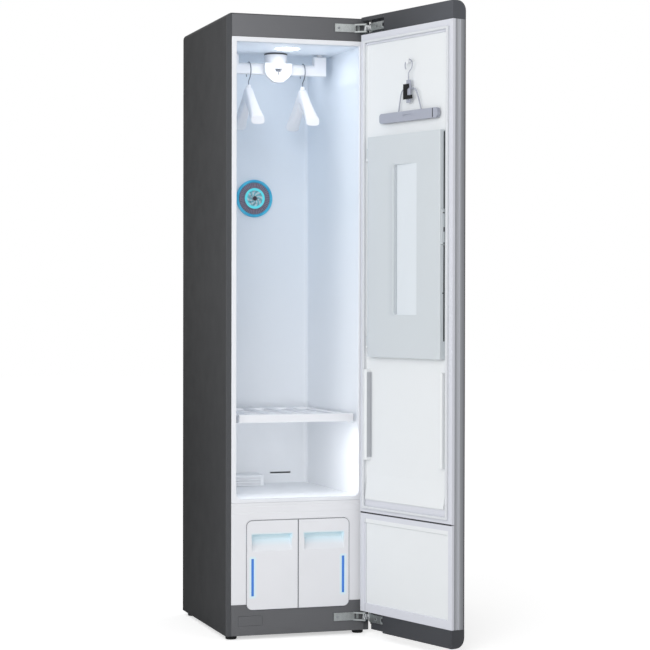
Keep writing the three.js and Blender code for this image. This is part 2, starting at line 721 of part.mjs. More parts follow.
// Shelf: a tray with long slots and a deep front bar, resting on the liner's ledges
const shelf_side_gap = 2;
const shelf_half_width = liner_rear_half - shelf_side_gap;
const shelf_front = 14;
const shelf_bar_depth = 22;
const shelf_bar_height = 25;
const shelf_bar_radius = 5;
const shelf_rear_gap = 17;
const shelf_back = compartment_depth - shelf_rear_gap;
const shelf_deck = 5;
const shelf_rim = 7;
const shelf_rim_height = 21;
const shelf_top = shelf_rim_bottom + shelf_rim_height;
const shelf_slots = 5;
const shelf_slot_bar = 26;
const shelf_slot_inset = 30;
const shelf_slot_pitch = liner_rear_half * 2 / shelf_slots;
const shelf_slot_width = shelf_slot_pitch - shelf_slot_bar;
const shelf_slot_radius = 14;
const shelf_bottom = shelf_rim_bottom + seat_gap;
const shelf_bar = prism('x', rounded(shelf_front, shelf_bottom, shelf_front + shelf_bar_depth,
  shelf_bottom + shelf_bar_height, shelf_bar_radius), -shelf_half_width, shelf_half_width);
const shelf_tray = cut(
  slab(-shelf_half_width, shelf_half_width, shelf_front + shelf_bar_depth / 2, shelf_back, shelf_bottom,
    shelf_top),
  slab(-shelf_half_width + shelf_rim, shelf_half_width - shelf_rim, shelf_front + shelf_bar_depth,
    shelf_back - shelf_rim, shelf_bottom - overrun, shelf_top - shelf_deck),
);
const shelf_slot_cuts = [];
for (let slot = 0; slot < shelf_slots; slot += 1) {
  const middle = (slot - (shelf_slots - 1) / 2) * shelf_slot_pitch;
  shelf_slot_cuts.push(prism('z', rounded(middle - shelf_slot_width / 2, shelf_front + shelf_slot_inset,
    middle + shelf_slot_width / 2, shelf_back - shelf_slot_inset, shelf_slot_radius),
  shelf_bottom - overrun, shelf_top + overrun));
}
add(cabinet, 'shelf', cut(join(shelf_bar, shelf_tray), ...shelf_slot_cuts), 'white_moulding');

// Housing with two bays for the water tanks, on two feet on the base pan
const housing_front = lower_panel_depth + seat_gap;
const housing_half = module_half_width + housing_wall;
const bay_inset = 1;
const bay_divider = 3;
const bay_bottom = module_bottom + bay_inset;
const bay_top = module_top - bay_inset;
const housing_foot_gap = 30;
const housing_foot_side = module_half_width - housing_foot_gap;
const housing_foot_width = 8;
const housing_foot_inset = 30;
const inner_base = pan_top + seat_gap;
const coupling_rise = 23;
const coupling_side = module_half_width / 2;
const coupling_height = module_bottom + coupling_rise;
const coupling_hole_radius = 9;
const housing_shell = slab(-housing_half, housing_half, housing_front, housing_depth,
  bay_bottom - housing_wall, bay_top + housing_wall);
const housing_bays = [];
const housing_feet = [];
for (const [, sign] of sides) {
  housing_bays.push(slab(sign * bay_divider / 2, sign * module_half_width, housing_front - overrun,
    housing_depth - housing_wall, bay_bottom, bay_top));
  housing_bays.push(rod('y', sign * coupling_side, coupling_height, coupling_hole_radius,
    housing_depth - overrun, housing_depth + overrun, 16));
  housing_feet.push(slab(sign * housing_foot_side - housing_foot_width / 2,
    sign * housing_foot_side + housing_foot_width / 2, housing_front + housing_foot_inset,
    housing_depth - housing_foot_inset, inner_base, bay_bottom - housing_wall / 2));
}
add(cabinet, 'tank_housing', cut(join(housing_shell, ...housing_feet), ...housing_bays), 'black_moulding');

// Water tanks: an open tank behind a front plate with a slanted grip pocket and a level window
const plate_front = -module_proud;
const plate_back = 8;
const plate_wall = 3;
const plate_split = 0.4;
const tank_wall = 2.5;
const tank_side_gap = 3;
const tank_inner_side = 3.5;
const tank_front = plate_back + seat_gap;
const tank_rear_gap = 30;
const tank_top_gap = 8;
const tank_back = housing_depth - tank_rear_gap;
const tank_bottom = bay_bottom + seat_gap;
const tank_top = module_top - tank_top_gap;
const spout_radius = 6;
const spout_reach = 35;
const spout_end = tank_back + spout_reach;
const grip_inner_side = 19.5;
const grip_side_gap = 16.5;
const grip_drop = 42;
const grip_height = 50;
const grip_rear_height = 15;
const grip_outer_side = module_half_width - grip_side_gap;
const grip_top = module_top - grip_drop;
const grip_low = grip_top - grip_height;
const grip_rear_low = grip_top - grip_rear_height;
const grip_back = 24;
const grip_wall = 3;
const window_side_gap = 15;
const window_width = 8;
const window_rise = 41;
const window_height = 111;
const window_outer_side = module_half_width - window_side_gap;
const window_inner_side = window_outer_side - window_width;
const window_low = module_bottom + window_rise;
const window_high = window_low + window_height;
const window_set_back = 0.5;
const grip_slope = (grip_rear_low - grip_low) / (grip_back - plate_front);
const grip_prism = (sign, grow, front) => {
  const low = (y) => grip_low + (y - plate_front) * grip_slope - grow * Math.hypot(1, grip_slope);
  const rear = grip_back + grow;
  const near = grip_inner_side - grow;
  const far = grip_outer_side + grow;
  const profile = [point(front, low(front)), point(rear, low(rear)), point(rear, grip_top + grow),
    point(front, grip_top + grow)];
  return sign > 0 ? prism('x', profile, near, far) : prism('x', profile, -far, -near);
};
const half_of_module = (sign, inset, shrink, front, back) => prism('y', module_outline(-shrink), front, back)
  .intersect(slab(sign * inset, sign * cabinet_width, front - overrun, back + overrun, 0, ceiling_height));
const window_block = (sign, gap, front, back) => slab(sign * (window_inner_side + gap),
  sign * (window_outer_side - gap), front, back, window_low + gap, window_high - gap);

const tank_block = (sign, shrink, top) => {
  const outline = module_outline(-tank_side_gap - shrink);
  const half = slab(sign * (tank_inner_side + shrink), sign * cabinet_width, 0, body_depth,
    tank_bottom + shrink, top);
  return prism('y', outline, tank_front + shrink, tank_back - shrink).intersect(half);
};

for (const [side, sign] of sides) {
  const use = side === 'left' ? 'supply' : 'drain';
  const box = tank_block(sign, 0, tank_top);
  const hollow = tank_block(sign, tank_wall, tank_top + overrun);
  const notch = grip_prism(sign, grip_wall + running_gap, -overrun);
  const notch_wall = grip_prism(sign, grip_wall + running_gap + tank_wall, -overrun);
  const spout = rod('y', sign * coupling_side, coupling_height, spout_radius, tank_back - tank_wall,
    spout_end, 16);
  add(cabinet, `${use}_tank`, join(cut(box, notch, cut(hollow, notch_wall)), spout), 'clear_tank');

  const face = cut(half_of_module(sign, plate_split, 0, plate_front, plate_back),
    half_of_module(sign, plate_split + plate_wall, plate_wall, plate_front + plate_wall,
      plate_back + overrun));
  const front_plate = cut(join(face, grip_prism(sign, grip_wall, plate_front)), grip_prism(sign, 0, -overrun),
    window_block(sign, 0, -overrun, plate_back));
  add(cabinet, `${use}_tank_front`, front_plate, 'white_moulding');
  add(cabinet, `${use}_level_window`, window_block(sign, seat_gap, plate_front + window_set_back, plate_back),
    'blue_lens');
}

// Steam generator, compressor and heat exchanger on the base pan behind the tanks
const machine_rear_gap = 100;
const machine_y = body_depth - machine_rear_gap;
const generator_x = -110;
const generator_radius = 45;
const generator_height = 110;
const generator_band = 3;
const generator_shoulder = 7;
const generator_outlet_radius = 7;
const generator_outlet_reach = 22;
const generator_middle = inner_base + generator_height / 2;
const generator_top = inner_base + generator_height;
add(cabinet, 'steam_generator', turned_piece([
  [0, inner_base],
  [generator_radius, inner_base],
  [generator_radius, generator_middle - generator_band],
  [generator_radius + generator_band, generator_middle - generator_band],
  [generator_radius + generator_band, generator_middle + generator_band],
  [generator_radius, generator_middle + generator_band],
  [generator_radius, generator_top - generator_shoulder],
  [generator_radius - generator_shoulder, generator_top],
  [generator_outlet_radius, generator_top],
  [generator_outlet_radius, generator_top + generator_outlet_reach],
  [0, generator_top + generator_outlet_reach],
], generator_x, machine_y, 20), 'zinc_sheet');

const compressor_x = 95;
const compressor_radius = 58;
const compressor_height = 180;
const compressor_base = 5;
const compressor_base_half = 60;
const compressor_base_depth_half = 45;
const compressor_pipe_radius = 5;
const compressor_pipe_offset = 30;
const compressor_pipe_reach = 20;
const compressor_shares = [[0, 0], [0.82, 0], [1, 0.1], [1, 0.72], [0.94, 0.85], [0.72, 0.96], [0.36, 1],
  [0, 1]];
const compressor_body = turned_piece(compressor_shares.map(([out, up]) => [out * compressor_radius,
  inner_base + compressor_base / 2 + up * compressor_height]), compressor_x, machine_y, 20);
add(cabinet, 'compressor', join(
  compressor_body,
  slab(compressor_x - compressor_base_half, compressor_x + compressor_base_half,
    machine_y - compressor_base_depth_half, machine_y + compressor_base_depth_half,
    inner_base, inner_base + compressor_base),
  rod('z', compressor_x - compressor_pipe_offset, machine_y, compressor_pipe_radius,
    inner_base + compressor_height / 2, inner_base + compressor_height + compressor_pipe_reach, 12),
), 'black_moulding');

const exchanger_gap = 15;
const exchanger_depth = 60;
const exchanger_height = 170;
const exchanger_top_gap = 16;
const exchanger_front = housing_depth + exchanger_gap;
const exchanger_back = exchanger_front + exchanger_depth;
const exchanger_high = floor_height - exchanger_top_gap;
const exchanger_low = exchanger_high - exchanger_height;
const exchanger_fins = 10;
const fin_sheet = 1.5;
const exchanger_side_gap = 19;
const exchanger_plate_side = opening_half_width - exchanger_side_gap;
const exchanger_pitch = exchanger_plate_side * 2 / exchanger_fins;
const exchanger_tube_radius = 5;
const exchanger_tube_shares = [[0.25, 0.26], [0.75, 0.74]];
const exchanger_pieces = [];
for (let fin = 0; fin < exchanger_fins; fin += 1) {
  const fin_x = (fin - (exchanger_fins - 1) / 2) * exchanger_pitch;
  exchanger_pieces.push(slab(fin_x - fin_sheet / 2, fin_x + fin_sheet / 2, exchanger_front, exchanger_back,
    exchanger_low, exchanger_high));
}
for (const [, sign] of sides) {
  exchanger_pieces.push(slab(sign * exchanger_plate_side, sign * (exchanger_plate_side + steel_sheet),
    exchanger_front, exchanger_back, inner_base, exchanger_high));
}
for (const [rearward, upward] of exchanger_tube_shares) {
  exchanger_pieces.push(rod('x', exchanger_front + rearward * exchanger_depth, exchanger_low
    + upward * exchanger_height, exchanger_tube_radius, -exchanger_plate_side - steel_sheet / 2,
  exchanger_plate_side + steel_sheet / 2, 6));
}
add(cabinet, 'heat_exchanger', join(...exchanger_pieces), 'fins');

// Blower under the intake grille: a motor on a bridge and a fan wheel on its shaft
const blower_x = -80;
const blower_rear_gap = 25;
const blower_y = compartment_depth - blower_rear_gap;
const blower_motor_radius = 26;
const blower_motor_height = 56;
const bridge_drop = 98;
const bridge_height = floor_height - bridge_drop;
const bridge_sheet = 3;
const bridge_half = 62;
const bridge_half_depth = 20;
const shaft_radius = 4;
const shaft_reach = 28;
const bridge_top = floor_height - moulded_wall - seat_gap;
const bridge_posts = sides.map(([, sign]) => slab(blower_x + sign * bridge_half,
  blower_x + sign * (bridge_half - bridge_sheet), blower_y - bridge_half_depth, blower_y + bridge_half_depth,
  bridge_height, bridge_top));
add(cabinet, 'blower_motor', join(
  rod('z', blower_x, blower_y, blower_motor_radius, bridge_height - blower_motor_height,
    bridge_height + bridge_sheet / 2, 24),
  slab(blower_x - bridge_half, blower_x + bridge_half, blower_y - bridge_half_depth,
    blower_y + bridge_half_depth, bridge_height, bridge_height + bridge_sheet),
  ...bridge_posts,
  rod('z', blower_x, blower_y, shaft_radius, bridge_height, bridge_height + shaft_reach, 12),
), 'zinc_sheet');

const fan_radius = 52;
const fan_bottom = bridge_height + bridge_sheet + 6 * running_gap;
const fan_height = 74;
const fan_sheet = 2.5;
const fan_hub_radius = 10;
const fan_hub_height = 30;
const fan_blades = 12;
const fan_blade_inner = 34;
const fan_blade_sheet = 2;
const fan_ring_inner = 46;
const fan_top = fan_bottom + fan_height;
const fan_pieces = [
  rod('z', blower_x, blower_y, fan_radius, fan_bottom, fan_bottom + fan_sheet, 28),
  rod('z', blower_x, blower_y, fan_hub_radius, fan_bottom, fan_bottom + fan_hub_height, 16),
  cut(
    rod('z', blower_x, blower_y, fan_radius, fan_top - fan_sheet, fan_top, 28),
    rod('z', blower_x, blower_y, fan_ring_inner, fan_top - overrun, fan_top + overrun, 28),
  ),
];
for (let blade = 0; blade < fan_blades; blade += 1) {
  const blade_slab = slab(fan_blade_inner, fan_radius - fan_blade_sheet, -fan_blade_sheet / 2,
    fan_blade_sheet / 2, fan_bottom + fan_sheet / 2, fan_top - fan_sheet / 2);
  fan_pieces.push(blade_slab.rotate([0, 0, 360 * blade / fan_blades]).translate([blower_x, blower_y, 0]));
}
add(cabinet, 'blower_fan', cut(join(...fan_pieces),
  rod('z', blower_x, blower_y, shaft_radius + seat_gap, fan_bottom - overrun, fan_top, 12)),
    'black_moulding');

// The door hangs on links with two pivots each: one on the cabinet's bracket, one on the door's plate
const hinge_end_gap = 30;
const hinge_bottom_gap = 43;
const hinge_heights = [['top', cabinet_height - hinge_end_gap, -1],
  ['bottom', under_gap + hinge_bottom_gap, 1]];
const cabinet_pivot_inset = 18.5;
const cabinet_pivot_front = 17;
const door_pivot_inset = 17.5;
const pivot_distance = 20;
const cabinet_pivot = point(half_width - cabinet_pivot_inset, -cabinet_pivot_front);
const door_pivot = point(half_width - door_pivot_inset, -cabinet_pivot_front - pivot_distance);
const pivot_radius = 7;
const pin_radius = 2.5;
const pin_hole_radius = 2.8;
const link_half_height = 8;
const link_half_width = 6;
const ear_low = 8.3;
const ear_high = 13;
const pin_half_height = 13.5;
const hinge_sheet = 3;
const hinge_outer_inset = 32.5;
const hinge_plate_width = 78;
const hinge_outer_x = half_width - hinge_outer_inset;
const hinge_inner_x = hinge_outer_x - hinge_plate_width;
const hinge_half_height = 12;
const bracket_slot_inset = 10;
const bracket_slot_x = hinge_outer_x - bracket_slot_inset;
const bracket_slot_half_width = 3;
const bracket_slot_half_height = 8;
const bracket_screw_inset = 12;
const bracket_screw_x = hinge_inner_x + bracket_screw_inset;
const bracket_screw_radius = 2.6;
const bracket_ear_width = 16;
const bracket_ear_x = hinge_outer_x - bracket_ear_width;
const door_plate_y = -23.7;
const small_hole_inset = 32;
const small_hole_radius = 3.2;
const large_hole_inset = 64;
const large_hole_radius = 6.5;
const door_plate_holes = [[hinge_outer_x - small_hole_inset, small_hole_radius],
  [hinge_outer_x - large_hole_inset, large_hole_radius]];
const door_web_back = door_pivot.y - pivot_radius;
const door_ear_half = 7;

const links = new THREE.Group();
const door = new THREE.Group();
const add_to_links = (name, solid, look) => add(links, name,
  solid.translate([-cabinet_pivot.x, -cabinet_pivot.y, 0]), look);
const add_to_door = (name, solid, look) => add(door, name,
  solid.translate([-door_pivot.x, -door_pivot.y, 0]), look);

for (const [place, height] of hinge_heights) {
  const bracket_back = -seat_gap;
  const bracket_front = bracket_back - hinge_sheet;
  const ears = [];
  const door_ears = [];
  for (const [, sign] of sides) {
    const near = height + sign * ear_low;
    const far = height + sign * ear_high;
    const [low, high] = sign > 0 ? [near, far] : [far, near];
    ears.push(prism('z', [
      point(bracket_ear_x, bracket_back),
      point(bracket_ear_x, bracket_front),
      point(cabinet_pivot.x - pivot_radius / 2, cabinet_pivot.y - pivot_radius * 0.87),
      point(cabinet_pivot.x + pivot_radius * 0.87, cabinet_pivot.y + pivot_radius / 2),
      point(hinge_outer_x, bracket_back),
    ], low, high));
    ears.push(rod('z', cabinet_pivot.x, cabinet_pivot.y, pivot_radius, low, high, 12));
    door_ears.push(slab(hinge_outer_x - hinge_sheet, door_pivot.x, door_pivot.y - door_ear_half,
      door_pivot.y + door_ear_half, low, high));
    door_ears.push(rod('z', door_pivot.x, door_pivot.y, pivot_radius, low, high, 12));
  }
  const whole = (x, y, radius) => rod('z', x, y, radius, height - overrun, height + overrun, 12);
  const bracket_plate = slab(hinge_inner_x, hinge_outer_x, bracket_front, bracket_back,
    height - hinge_half_height, height + hinge_half_height);
  const bracket_cuts = [
    slab(bracket_slot_x - bracket_slot_half_width, bracket_slot_x + bracket_slot_half_width,
      bracket_front - overrun, bracket_back + overrun,
      height - bracket_slot_half_height, height + bracket_slot_half_height),
    rod('y', bracket_screw_x, height, bracket_screw_radius, bracket_front - overrun, bracket_back + overrun,
      12),
    whole(cabinet_pivot.x, cabinet_pivot.y, pin_hole_radius),
  ];
  add(cabinet, `hinge_bracket_${place}`, cut(join(bracket_plate, ...ears), ...bracket_cuts), 'chrome');

  const link_plate = join(
    rod('z', cabinet_pivot.x, cabinet_pivot.y, link_half_width, height - link_half_height,
      height + link_half_height, 16),
    rod('z', door_pivot.x, door_pivot.y, link_half_width, height - link_half_height,
      height + link_half_height, 16),
    prism('z', [
      point(cabinet_pivot.x - link_half_width, cabinet_pivot.y),
      point(door_pivot.x - link_half_width, door_pivot.y),
      point(door_pivot.x + link_half_width, door_pivot.y),
      point(cabinet_pivot.x + link_half_width, cabinet_pivot.y),
    ], height - link_half_height, height + link_half_height),
    rod('z', cabinet_pivot.x, cabinet_pivot.y, pin_radius, height - pin_half_height,
      height + pin_half_height, 12),
    rod('z', door_pivot.x, door_pivot.y, pin_radius, height - pin_half_height, height + pin_half_height, 12),
  );
  add_to_links(`hinge_link_${place}`, link_plate, 'chrome');

  const plate_outline = [
    point(hinge_outer_x, height - hinge_half_height),
    point(hinge_outer_x, height + hinge_half_height),
    ...arc(hinge_inner_x + hinge_half_height, height, hinge_half_height, 90, 270, 8),
  ];
  const plate_cuts = door_plate_holes.map(([hole_x, radius]) => rod('y', hole_x, height, radius,
    door_plate_y - overrun, door_plate_y + overrun, 12));
  const door_plate = cut(join(
    prism('y', plate_outline, door_plate_y, door_plate_y + hinge_sheet),
    slab(hinge_outer_x - hinge_sheet, hinge_outer_x, door_web_back, door_plate_y + hinge_sheet,
      height - ear_high, height + ear_high),
    ...door_ears,
  ), ...plate_cuts, whole(door_pivot.x, door_pivot.y, pin_hole_radius));
  add_to_door(`door_hinge_plate_${place}`, door_plate, 'chrome');
}

// Door pieces are placed by the distance across from the hinge edge and the height proud of the inner face
const across = (distance) => door_half_width - distance;
const proud = (height) => door_inner_y + height;
const door_slab = (from, to, low_proud, high_proud, z0, z1) => slab(across(from), across(to),
  proud(low_proud), proud(high_proud), z0, z1);
const door_width = door_half_width * 2;

// Moulded caps at both ends, with a rounded outer edge and a pocket for the hinge
const cap_corner_radius = 28;
const cap_wall = 3;
const pocket_deep_end = 34;
const pocket_end = 113;
const pocket_deep_y = -46;
const pocket_shallow_y = -24;
const pocket_half_height = 18.5;
for (const [place, height, inward] of hinge_heights) {
  const outer_end = inward < 0 ? cabinet_height : door_bottom;
  const at = (depth) => outer_end + inward * depth;
  const cap_profile = (shrink, end) => [
    point(door_inner_y - shrink, at(end)),
    point(door_inner_y - shrink, at(shrink)),
    ...arc(door_outer_y + cap_corner_radius, cap_corner_radius, cap_corner_radius - shrink, 270, 180, 6)
      .map((each) => point(each.x, at(each.y))),
    point(door_outer_y + shrink, at(end)),
  ];
  const hinge_pocket = (grow) => {
    const low = Math.min(height - pocket_half_height, at(-inward * overrun));
    const open_low = inward > 0 ? low : height - pocket_half_height;
    const high = height + pocket_half_height;
    return join(
      slab(across(-overrun), across(pocket_deep_end + grow), pocket_deep_y - grow, overrun,
        open_low - grow, high + grow),
      slab(across(pocket_deep_end - grow), across(pocket_end + grow), pocket_shallow_y - grow, overrun,
        open_low - grow, high + grow),
    );
  };
  const shell = prism('x', cap_profile(0, door_cap_height), -door_half_width, door_half_width);
  const hollow = prism('x', cap_profile(cap_wall, door_cap_height + overrun), -door_half_width + cap_wall,
    door_half_width - cap_wall);
  add_to_door(`door_${place}_cap`, cut(shell, cut(hollow, hinge_pocket(cap_wall)), hinge_pocket(0)),
    'dark_moulding');
}

// Outer tray, its glass face and the grooves down the free edge
const skin_low = door_bottom + door_cap_height + seat_gap;
const skin_high = cabinet_height - door_cap_height - seat_gap;
const glass_sheet = 3;
const lip_depth = 9;
const skin_front = door_outer_y + glass_sheet + seat_gap;
const skin_back = door_inner_y - lip_depth - seat_gap;
const skin_wall = 2;
const free_edge_wall = 4;
const groove_depth = 2;
const edge_grooves = [[13, 9], [26, 20]];
const skin_cuts = edge_grooves.map(([from, to]) => slab(-door_half_width - overrun,
  -door_half_width + groove_depth,
  proud(-from), Math.min(proud(-to), skin_back + overrun), skin_low - overrun, skin_high + overrun));
add_to_door('door_skin', cut(
  slab(-door_half_width, door_half_width, skin_front, skin_back, skin_low, skin_high),
  slab(-door_half_width + free_edge_wall, door_half_width - skin_wall, skin_front + skin_wall,
    skin_back + overrun, skin_low + skin_wall, skin_high - skin_wall),
  ...skin_cuts,
), 'grey_steel');
add_to_door('front_glass', slab(-door_half_width, door_half_width, door_outer_y, door_outer_y + glass_sheet,
  skin_low, skin_high), 'glass');

// Inner lining in two mouldings, each with a shallow recess
const recess_depth = 5;
const lining_low = door_split_height + door_split_gap / 2;
const recess_side = 26;
const upper_recess_rise = 41;
const upper_recess_drop = 33;
const lower_recess_side = 21;
const lower_recess_rise = 26;
const lower_recess_drop = 31;
const upper_recess = [recess_side, door_width - recess_side, lining_low + upper_recess_rise,
  skin_high - upper_recess_drop];
const lower_recess = [lower_recess_side, door_width - lower_recess_side, skin_low + lower_recess_rise,
  lining_low - lower_recess_drop];
const lining_shell = (low, high, [from, to, recess_low, recess_high]) => cut(
  door_slab(0, door_width, -lip_depth, 0, low, high),
  door_slab(from, to, -recess_depth, overrun, recess_low, recess_high),
  cut(
    door_slab(moulded_wall, door_width - moulded_wall, -overrun, -moulded_wall, low + moulded_wall,
      high - moulded_wall),
    door_slab(from - moulded_wall, to + moulded_wall, -recess_depth - moulded_wall, overrun,
      recess_low - moulded_wall, recess_high + moulded_wall),
  ),
);
const rail_side = 32;
const rail_width = 14;
const rail_rise = 158;
const rail_height = 270;
const rail_places = [[rail_side, rail_side + rail_width],
  [door_width - rail_side - rail_width, door_width - rail_side]];
const rail_low = lining_low + rail_rise;
const rail_high = rail_low + rail_height;
const rail_proud = 14;
const lip_height = 87;
const lip_from = rail_side;
const lip_to = door_width - rail_side;
const lip_low = upper_recess[2];
const lip_high = lip_low + lip_height;
const lip_proud = 6;
const lip_face = 5;
const floor_proud = -recess_depth - moulded_wall / 2;
const rails = rail_places.map(([from, to]) => prism('z', rounded(across(to), proud(floor_proud), across(from),
  proud(rail_proud), seat_gap, (to - from) / 3), rail_low, rail_high));
const lip = prism('x', [
  point(proud(floor_proud), lip_low),
  point(proud(lip_proud), lip_low),
  point(proud(lip_proud), lip_low + lip_face),
  point(proud(floor_proud), lip_high),
], across(lip_to), across(lip_from));

const hook_offset = 24.5;
const hook_across = door_half_width + hook_offset;
const hook_arm_radius = 4;
const hook_arm_drop = 102;
const hook_arm_height = skin_high - hook_arm_drop;
const hook_arm_proud = 14;
const hook_disc_radius = 7;
const hook_disc = 3;
const hook_arm = join(
  rod('y', across(hook_across), hook_arm_height, hook_arm_radius, proud(floor_proud), proud(hook_arm_proud),
    12),
  rod('y', across(hook_across), hook_arm_height, hook_disc_radius, proud(hook_arm_proud - hook_disc),
    proud(hook_arm_proud), 16),
);

const press_axis_across = 38;
const press_axis_proud = 1;
const press_barrel_radius = 5;
const press_drop = 310;
const press_rail_gap = 38;
const press_high = skin_high - press_drop;
const press_low = rail_high + press_rail_gap;
const barrel_inset = 32;
const barrel_length = 30;
const press_barrels = [[press_low + barrel_inset, press_low + barrel_inset + barrel_length],
  [press_high - barrel_inset - barrel_length, press_high - barrel_inset]];
const press_lug_height = 7;
const press_lugs = [];
for (const [low] of press_barrels) {
  press_lugs.push(door_slab(press_axis_across - press_barrel_radius, press_axis_across + press_barrel_radius,
    floor_proud, press_axis_proud + press_barrel_radius, low - seat_gap - press_lug_height, low - seat_gap));
  press_lugs.push(rod('z', across(press_axis_across), proud(press_axis_proud), pin_radius,
    low - press_lug_height, low + press_lug_height * 3, 12));
}
add_to_door('door_liner_upper', join(lining_shell(lining_low, skin_high, upper_recess), ...rails, lip,
  hook_arm, ...press_lugs), 'white_moulding');
add_to_door('door_liner_lower', lining_shell(skin_low, lining_low - door_split_gap, lower_recess),
  'white_moulding');

const gasket_side = 17;
const gasket_rise = 12;
const gasket_drop = 19;
const gasket_width = 8;
const gasket_from = gasket_side;
const gasket_to = door_width - gasket_side;
const gasket_low = lining_low + gasket_rise;
const gasket_high = skin_high - gasket_drop;
const gasket_front = proud(seat_gap);
const gasket_back = -seat_gap;
add_to_door('door_gasket', cut(
  slab(across(gasket_from), across(gasket_to), gasket_front, gasket_back, gasket_low, gasket_high),
  slab(across(gasket_from + gasket_width), across(gasket_to - gasket_width), gasket_front - overrun,
    gasket_back + overrun, gasket_low + gasket_width, gasket_high - gasket_width),
), 'seal');

// Trouser press: a hinged panel over a flat pad, with a sloped recess and a latch in its free edge
const press_from = 45;
const press_free_gap = 36.5;
const press_to = door_width - press_free_gap;
const press_rest = -4.4;
const press_face = 18;
const press_wall = 4;
const press_edge_radius = 20;
const press_chamfer = 2;
const window_offset = 140;
const press_window_width = 116;
const window_low_gap = 125;
const window_high_gap = 88;
const window_from = press_from + window_offset;
const window_to = window_from + press_window_width;
const window_bottom = press_low + window_low_gap;
const window_roof = press_high - window_high_gap;
const press_window_depth = 9;
const press_window_radius = 10;
const press_rib_half = 2.5;
const press_outline = (shrink) => [
  point(across(press_from + shrink), proud(press_rest) - (shrink > 0 ? overrun : 0)),
  ...arc(across(press_from + press_edge_radius), proud(press_face - press_edge_radius),
    press_edge_radius - shrink, 0, 90, 6),
  point(across(press_to - press_chamfer - shrink), proud(press_face - shrink)),
  point(across(press_to - shrink), proud(press_face - press_chamfer - shrink)),
  point(across(press_to - shrink), proud(press_rest) - (shrink > 0 ? overrun : 0)),
];
const press_pocket = (grow) => prism('z', [
  point(across(window_from - grow), proud(press_face + overrun)),
  point(across(window_from - grow), proud(press_face - press_window_depth - grow)),
  point(across(window_from + grow * 2), proud(press_face - press_window_depth - grow)),
  point(across(window_to + grow), proud(press_face - grow)),
  point(across(window_to + grow), proud(press_face + overrun)),
], window_bottom - grow, window_roof + grow).intersect(prism('y', rounded(across(window_to + overrun),
  window_bottom - grow, across(window_from - grow), window_roof + grow, press_window_radius),
door_outer_y, proud(press_face + overrun)));
const latch_rise = 50;
const latch_half = 50;
const latch_reach = 3;
const latch_root = 6.5;
const latch_middle = (press_low + press_high) / 2 + latch_rise;
const latch_back = press_to - latch_root;
const latch_front = press_to + latch_reach;
const latch_low = 2;
const latch_high = 12;
const latch_opening = slab(across(press_to - press_wall - overrun / 10), across(press_to + overrun),
  proud(latch_low - running_gap), proud(latch_high + running_gap),
  latch_middle - latch_half - running_gap, latch_middle + latch_half + running_gap);
const barrel_pieces = [];
const barrel_bores = [];
for (const [low, high] of press_barrels) {
  barrel_pieces.push(rod('z', across(press_axis_across), proud(press_axis_proud), press_barrel_radius, low,
    high, 16));
  barrel_pieces.push(door_slab(press_axis_across, press_from + press_wall / 2,
    press_axis_proud - press_rib_half, press_axis_proud + press_rib_half, low, high));
  barrel_bores.push(rod('z', across(press_axis_across), proud(press_axis_proud), pin_hole_radius,
    low - overrun, high + overrun, 12));
}
const press_block = prism('z', press_outline(0), press_low, press_high);
const press_hollow = prism('z', press_outline(press_wall), press_low + press_wall, press_high - press_wall);
add_to_door('press_panel', cut(
  join(cut(press_block, cut(press_hollow, press_pocket(press_wall))), ...barrel_pieces),
  press_pocket(0),
  latch_opening,
  ...barrel_bores,
), 'pale_press');
const pad_inset = 13;
const pad_from = press_from + pad_inset;
const pad_proud = 1;
add_to_door('press_pad', door_slab(pad_from, press_to - pad_inset, -recess_depth + seat_gap, pad_proud,
  press_low + pad_inset, press_high - pad_inset), 'seal');
add_to_door('press_latch', door_slab(latch_back, latch_front, latch_low, latch_high,
  latch_middle - latch_half, latch_middle + latch_half), 'pale_press');

// Clip hanger on the door's hook: a wire frame, a clamp bar in two halves and a slide lock
const clip_wire_radius = 1.6;
const clip_hook_radius = 17;
const clip_hook_proud = 8;
const clip_hook_height = hook_arm_height + hook_arm_radius + seat_gap + clip_wire_radius - clip_hook_radius;
const clip_plate_half = 9;
const clip_plate_top_drop = 54;
const clip_plate_height = 66;
const clip_plate_top = hook_arm_height - clip_plate_top_drop;
const clip_plate_bottom = clip_plate_top - clip_plate_height;
const clip_plate_low_proud = 6.5;
const clip_plate_high_proud = 9.5;
const clip_frame_proud = 4.6;
const clip_bar_side_gap = 58;
const clip_bar_half = door_half_width - hook_offset - clip_bar_side_gap;
const clip_bar_drop = 172;
const clip_bar_height = 29;
const clip_bar_low = hook_arm_height - clip_bar_drop;
const clip_bar_high = clip_bar_low + clip_bar_height;
const clip_bar_low_proud = 1;
const clip_bar_high_proud = 5;
const clip_jaw_low_proud = 5.6;
const clip_jaw_high_proud = 12;
const clip_bar_radius = 9;
const clip_frame_half = 55;
const clip_frame_drop = 25;
const clip_frame_lap = 4;
const clip_frame_top = clip_plate_top - clip_frame_drop;
const clip_frame_foot = clip_bar_high - clip_frame_lap;
const clip_frame_shares = [[-1, 0, 0], [-0.84, 0.52, 0.6], [-0.69, 0.89, 1], [-0.53, 0.99, 1], [0, 1, 1],
  [0.4, 0.99, 1], [0.58, 0.88, 1], [0.78, 0.52, 0.6], [1, 0, 0]];
const clip_frame_low_proud = 3;
const clip_frame_points = clip_frame_shares.map(([sideways, up, out]) => [
  hook_across + sideways * clip_frame_half,
  clip_frame_low_proud + out * (clip_frame_proud - clip_frame_low_proud),
  clip_frame_foot + up * (clip_frame_top - clip_frame_foot),
]);
const at_door = ([distance, height, z]) => new THREE.Vector3(across(distance), proud(height), z);
const clip_hook_tip_turn = -40;
const clip_hook_end_turn = 225;
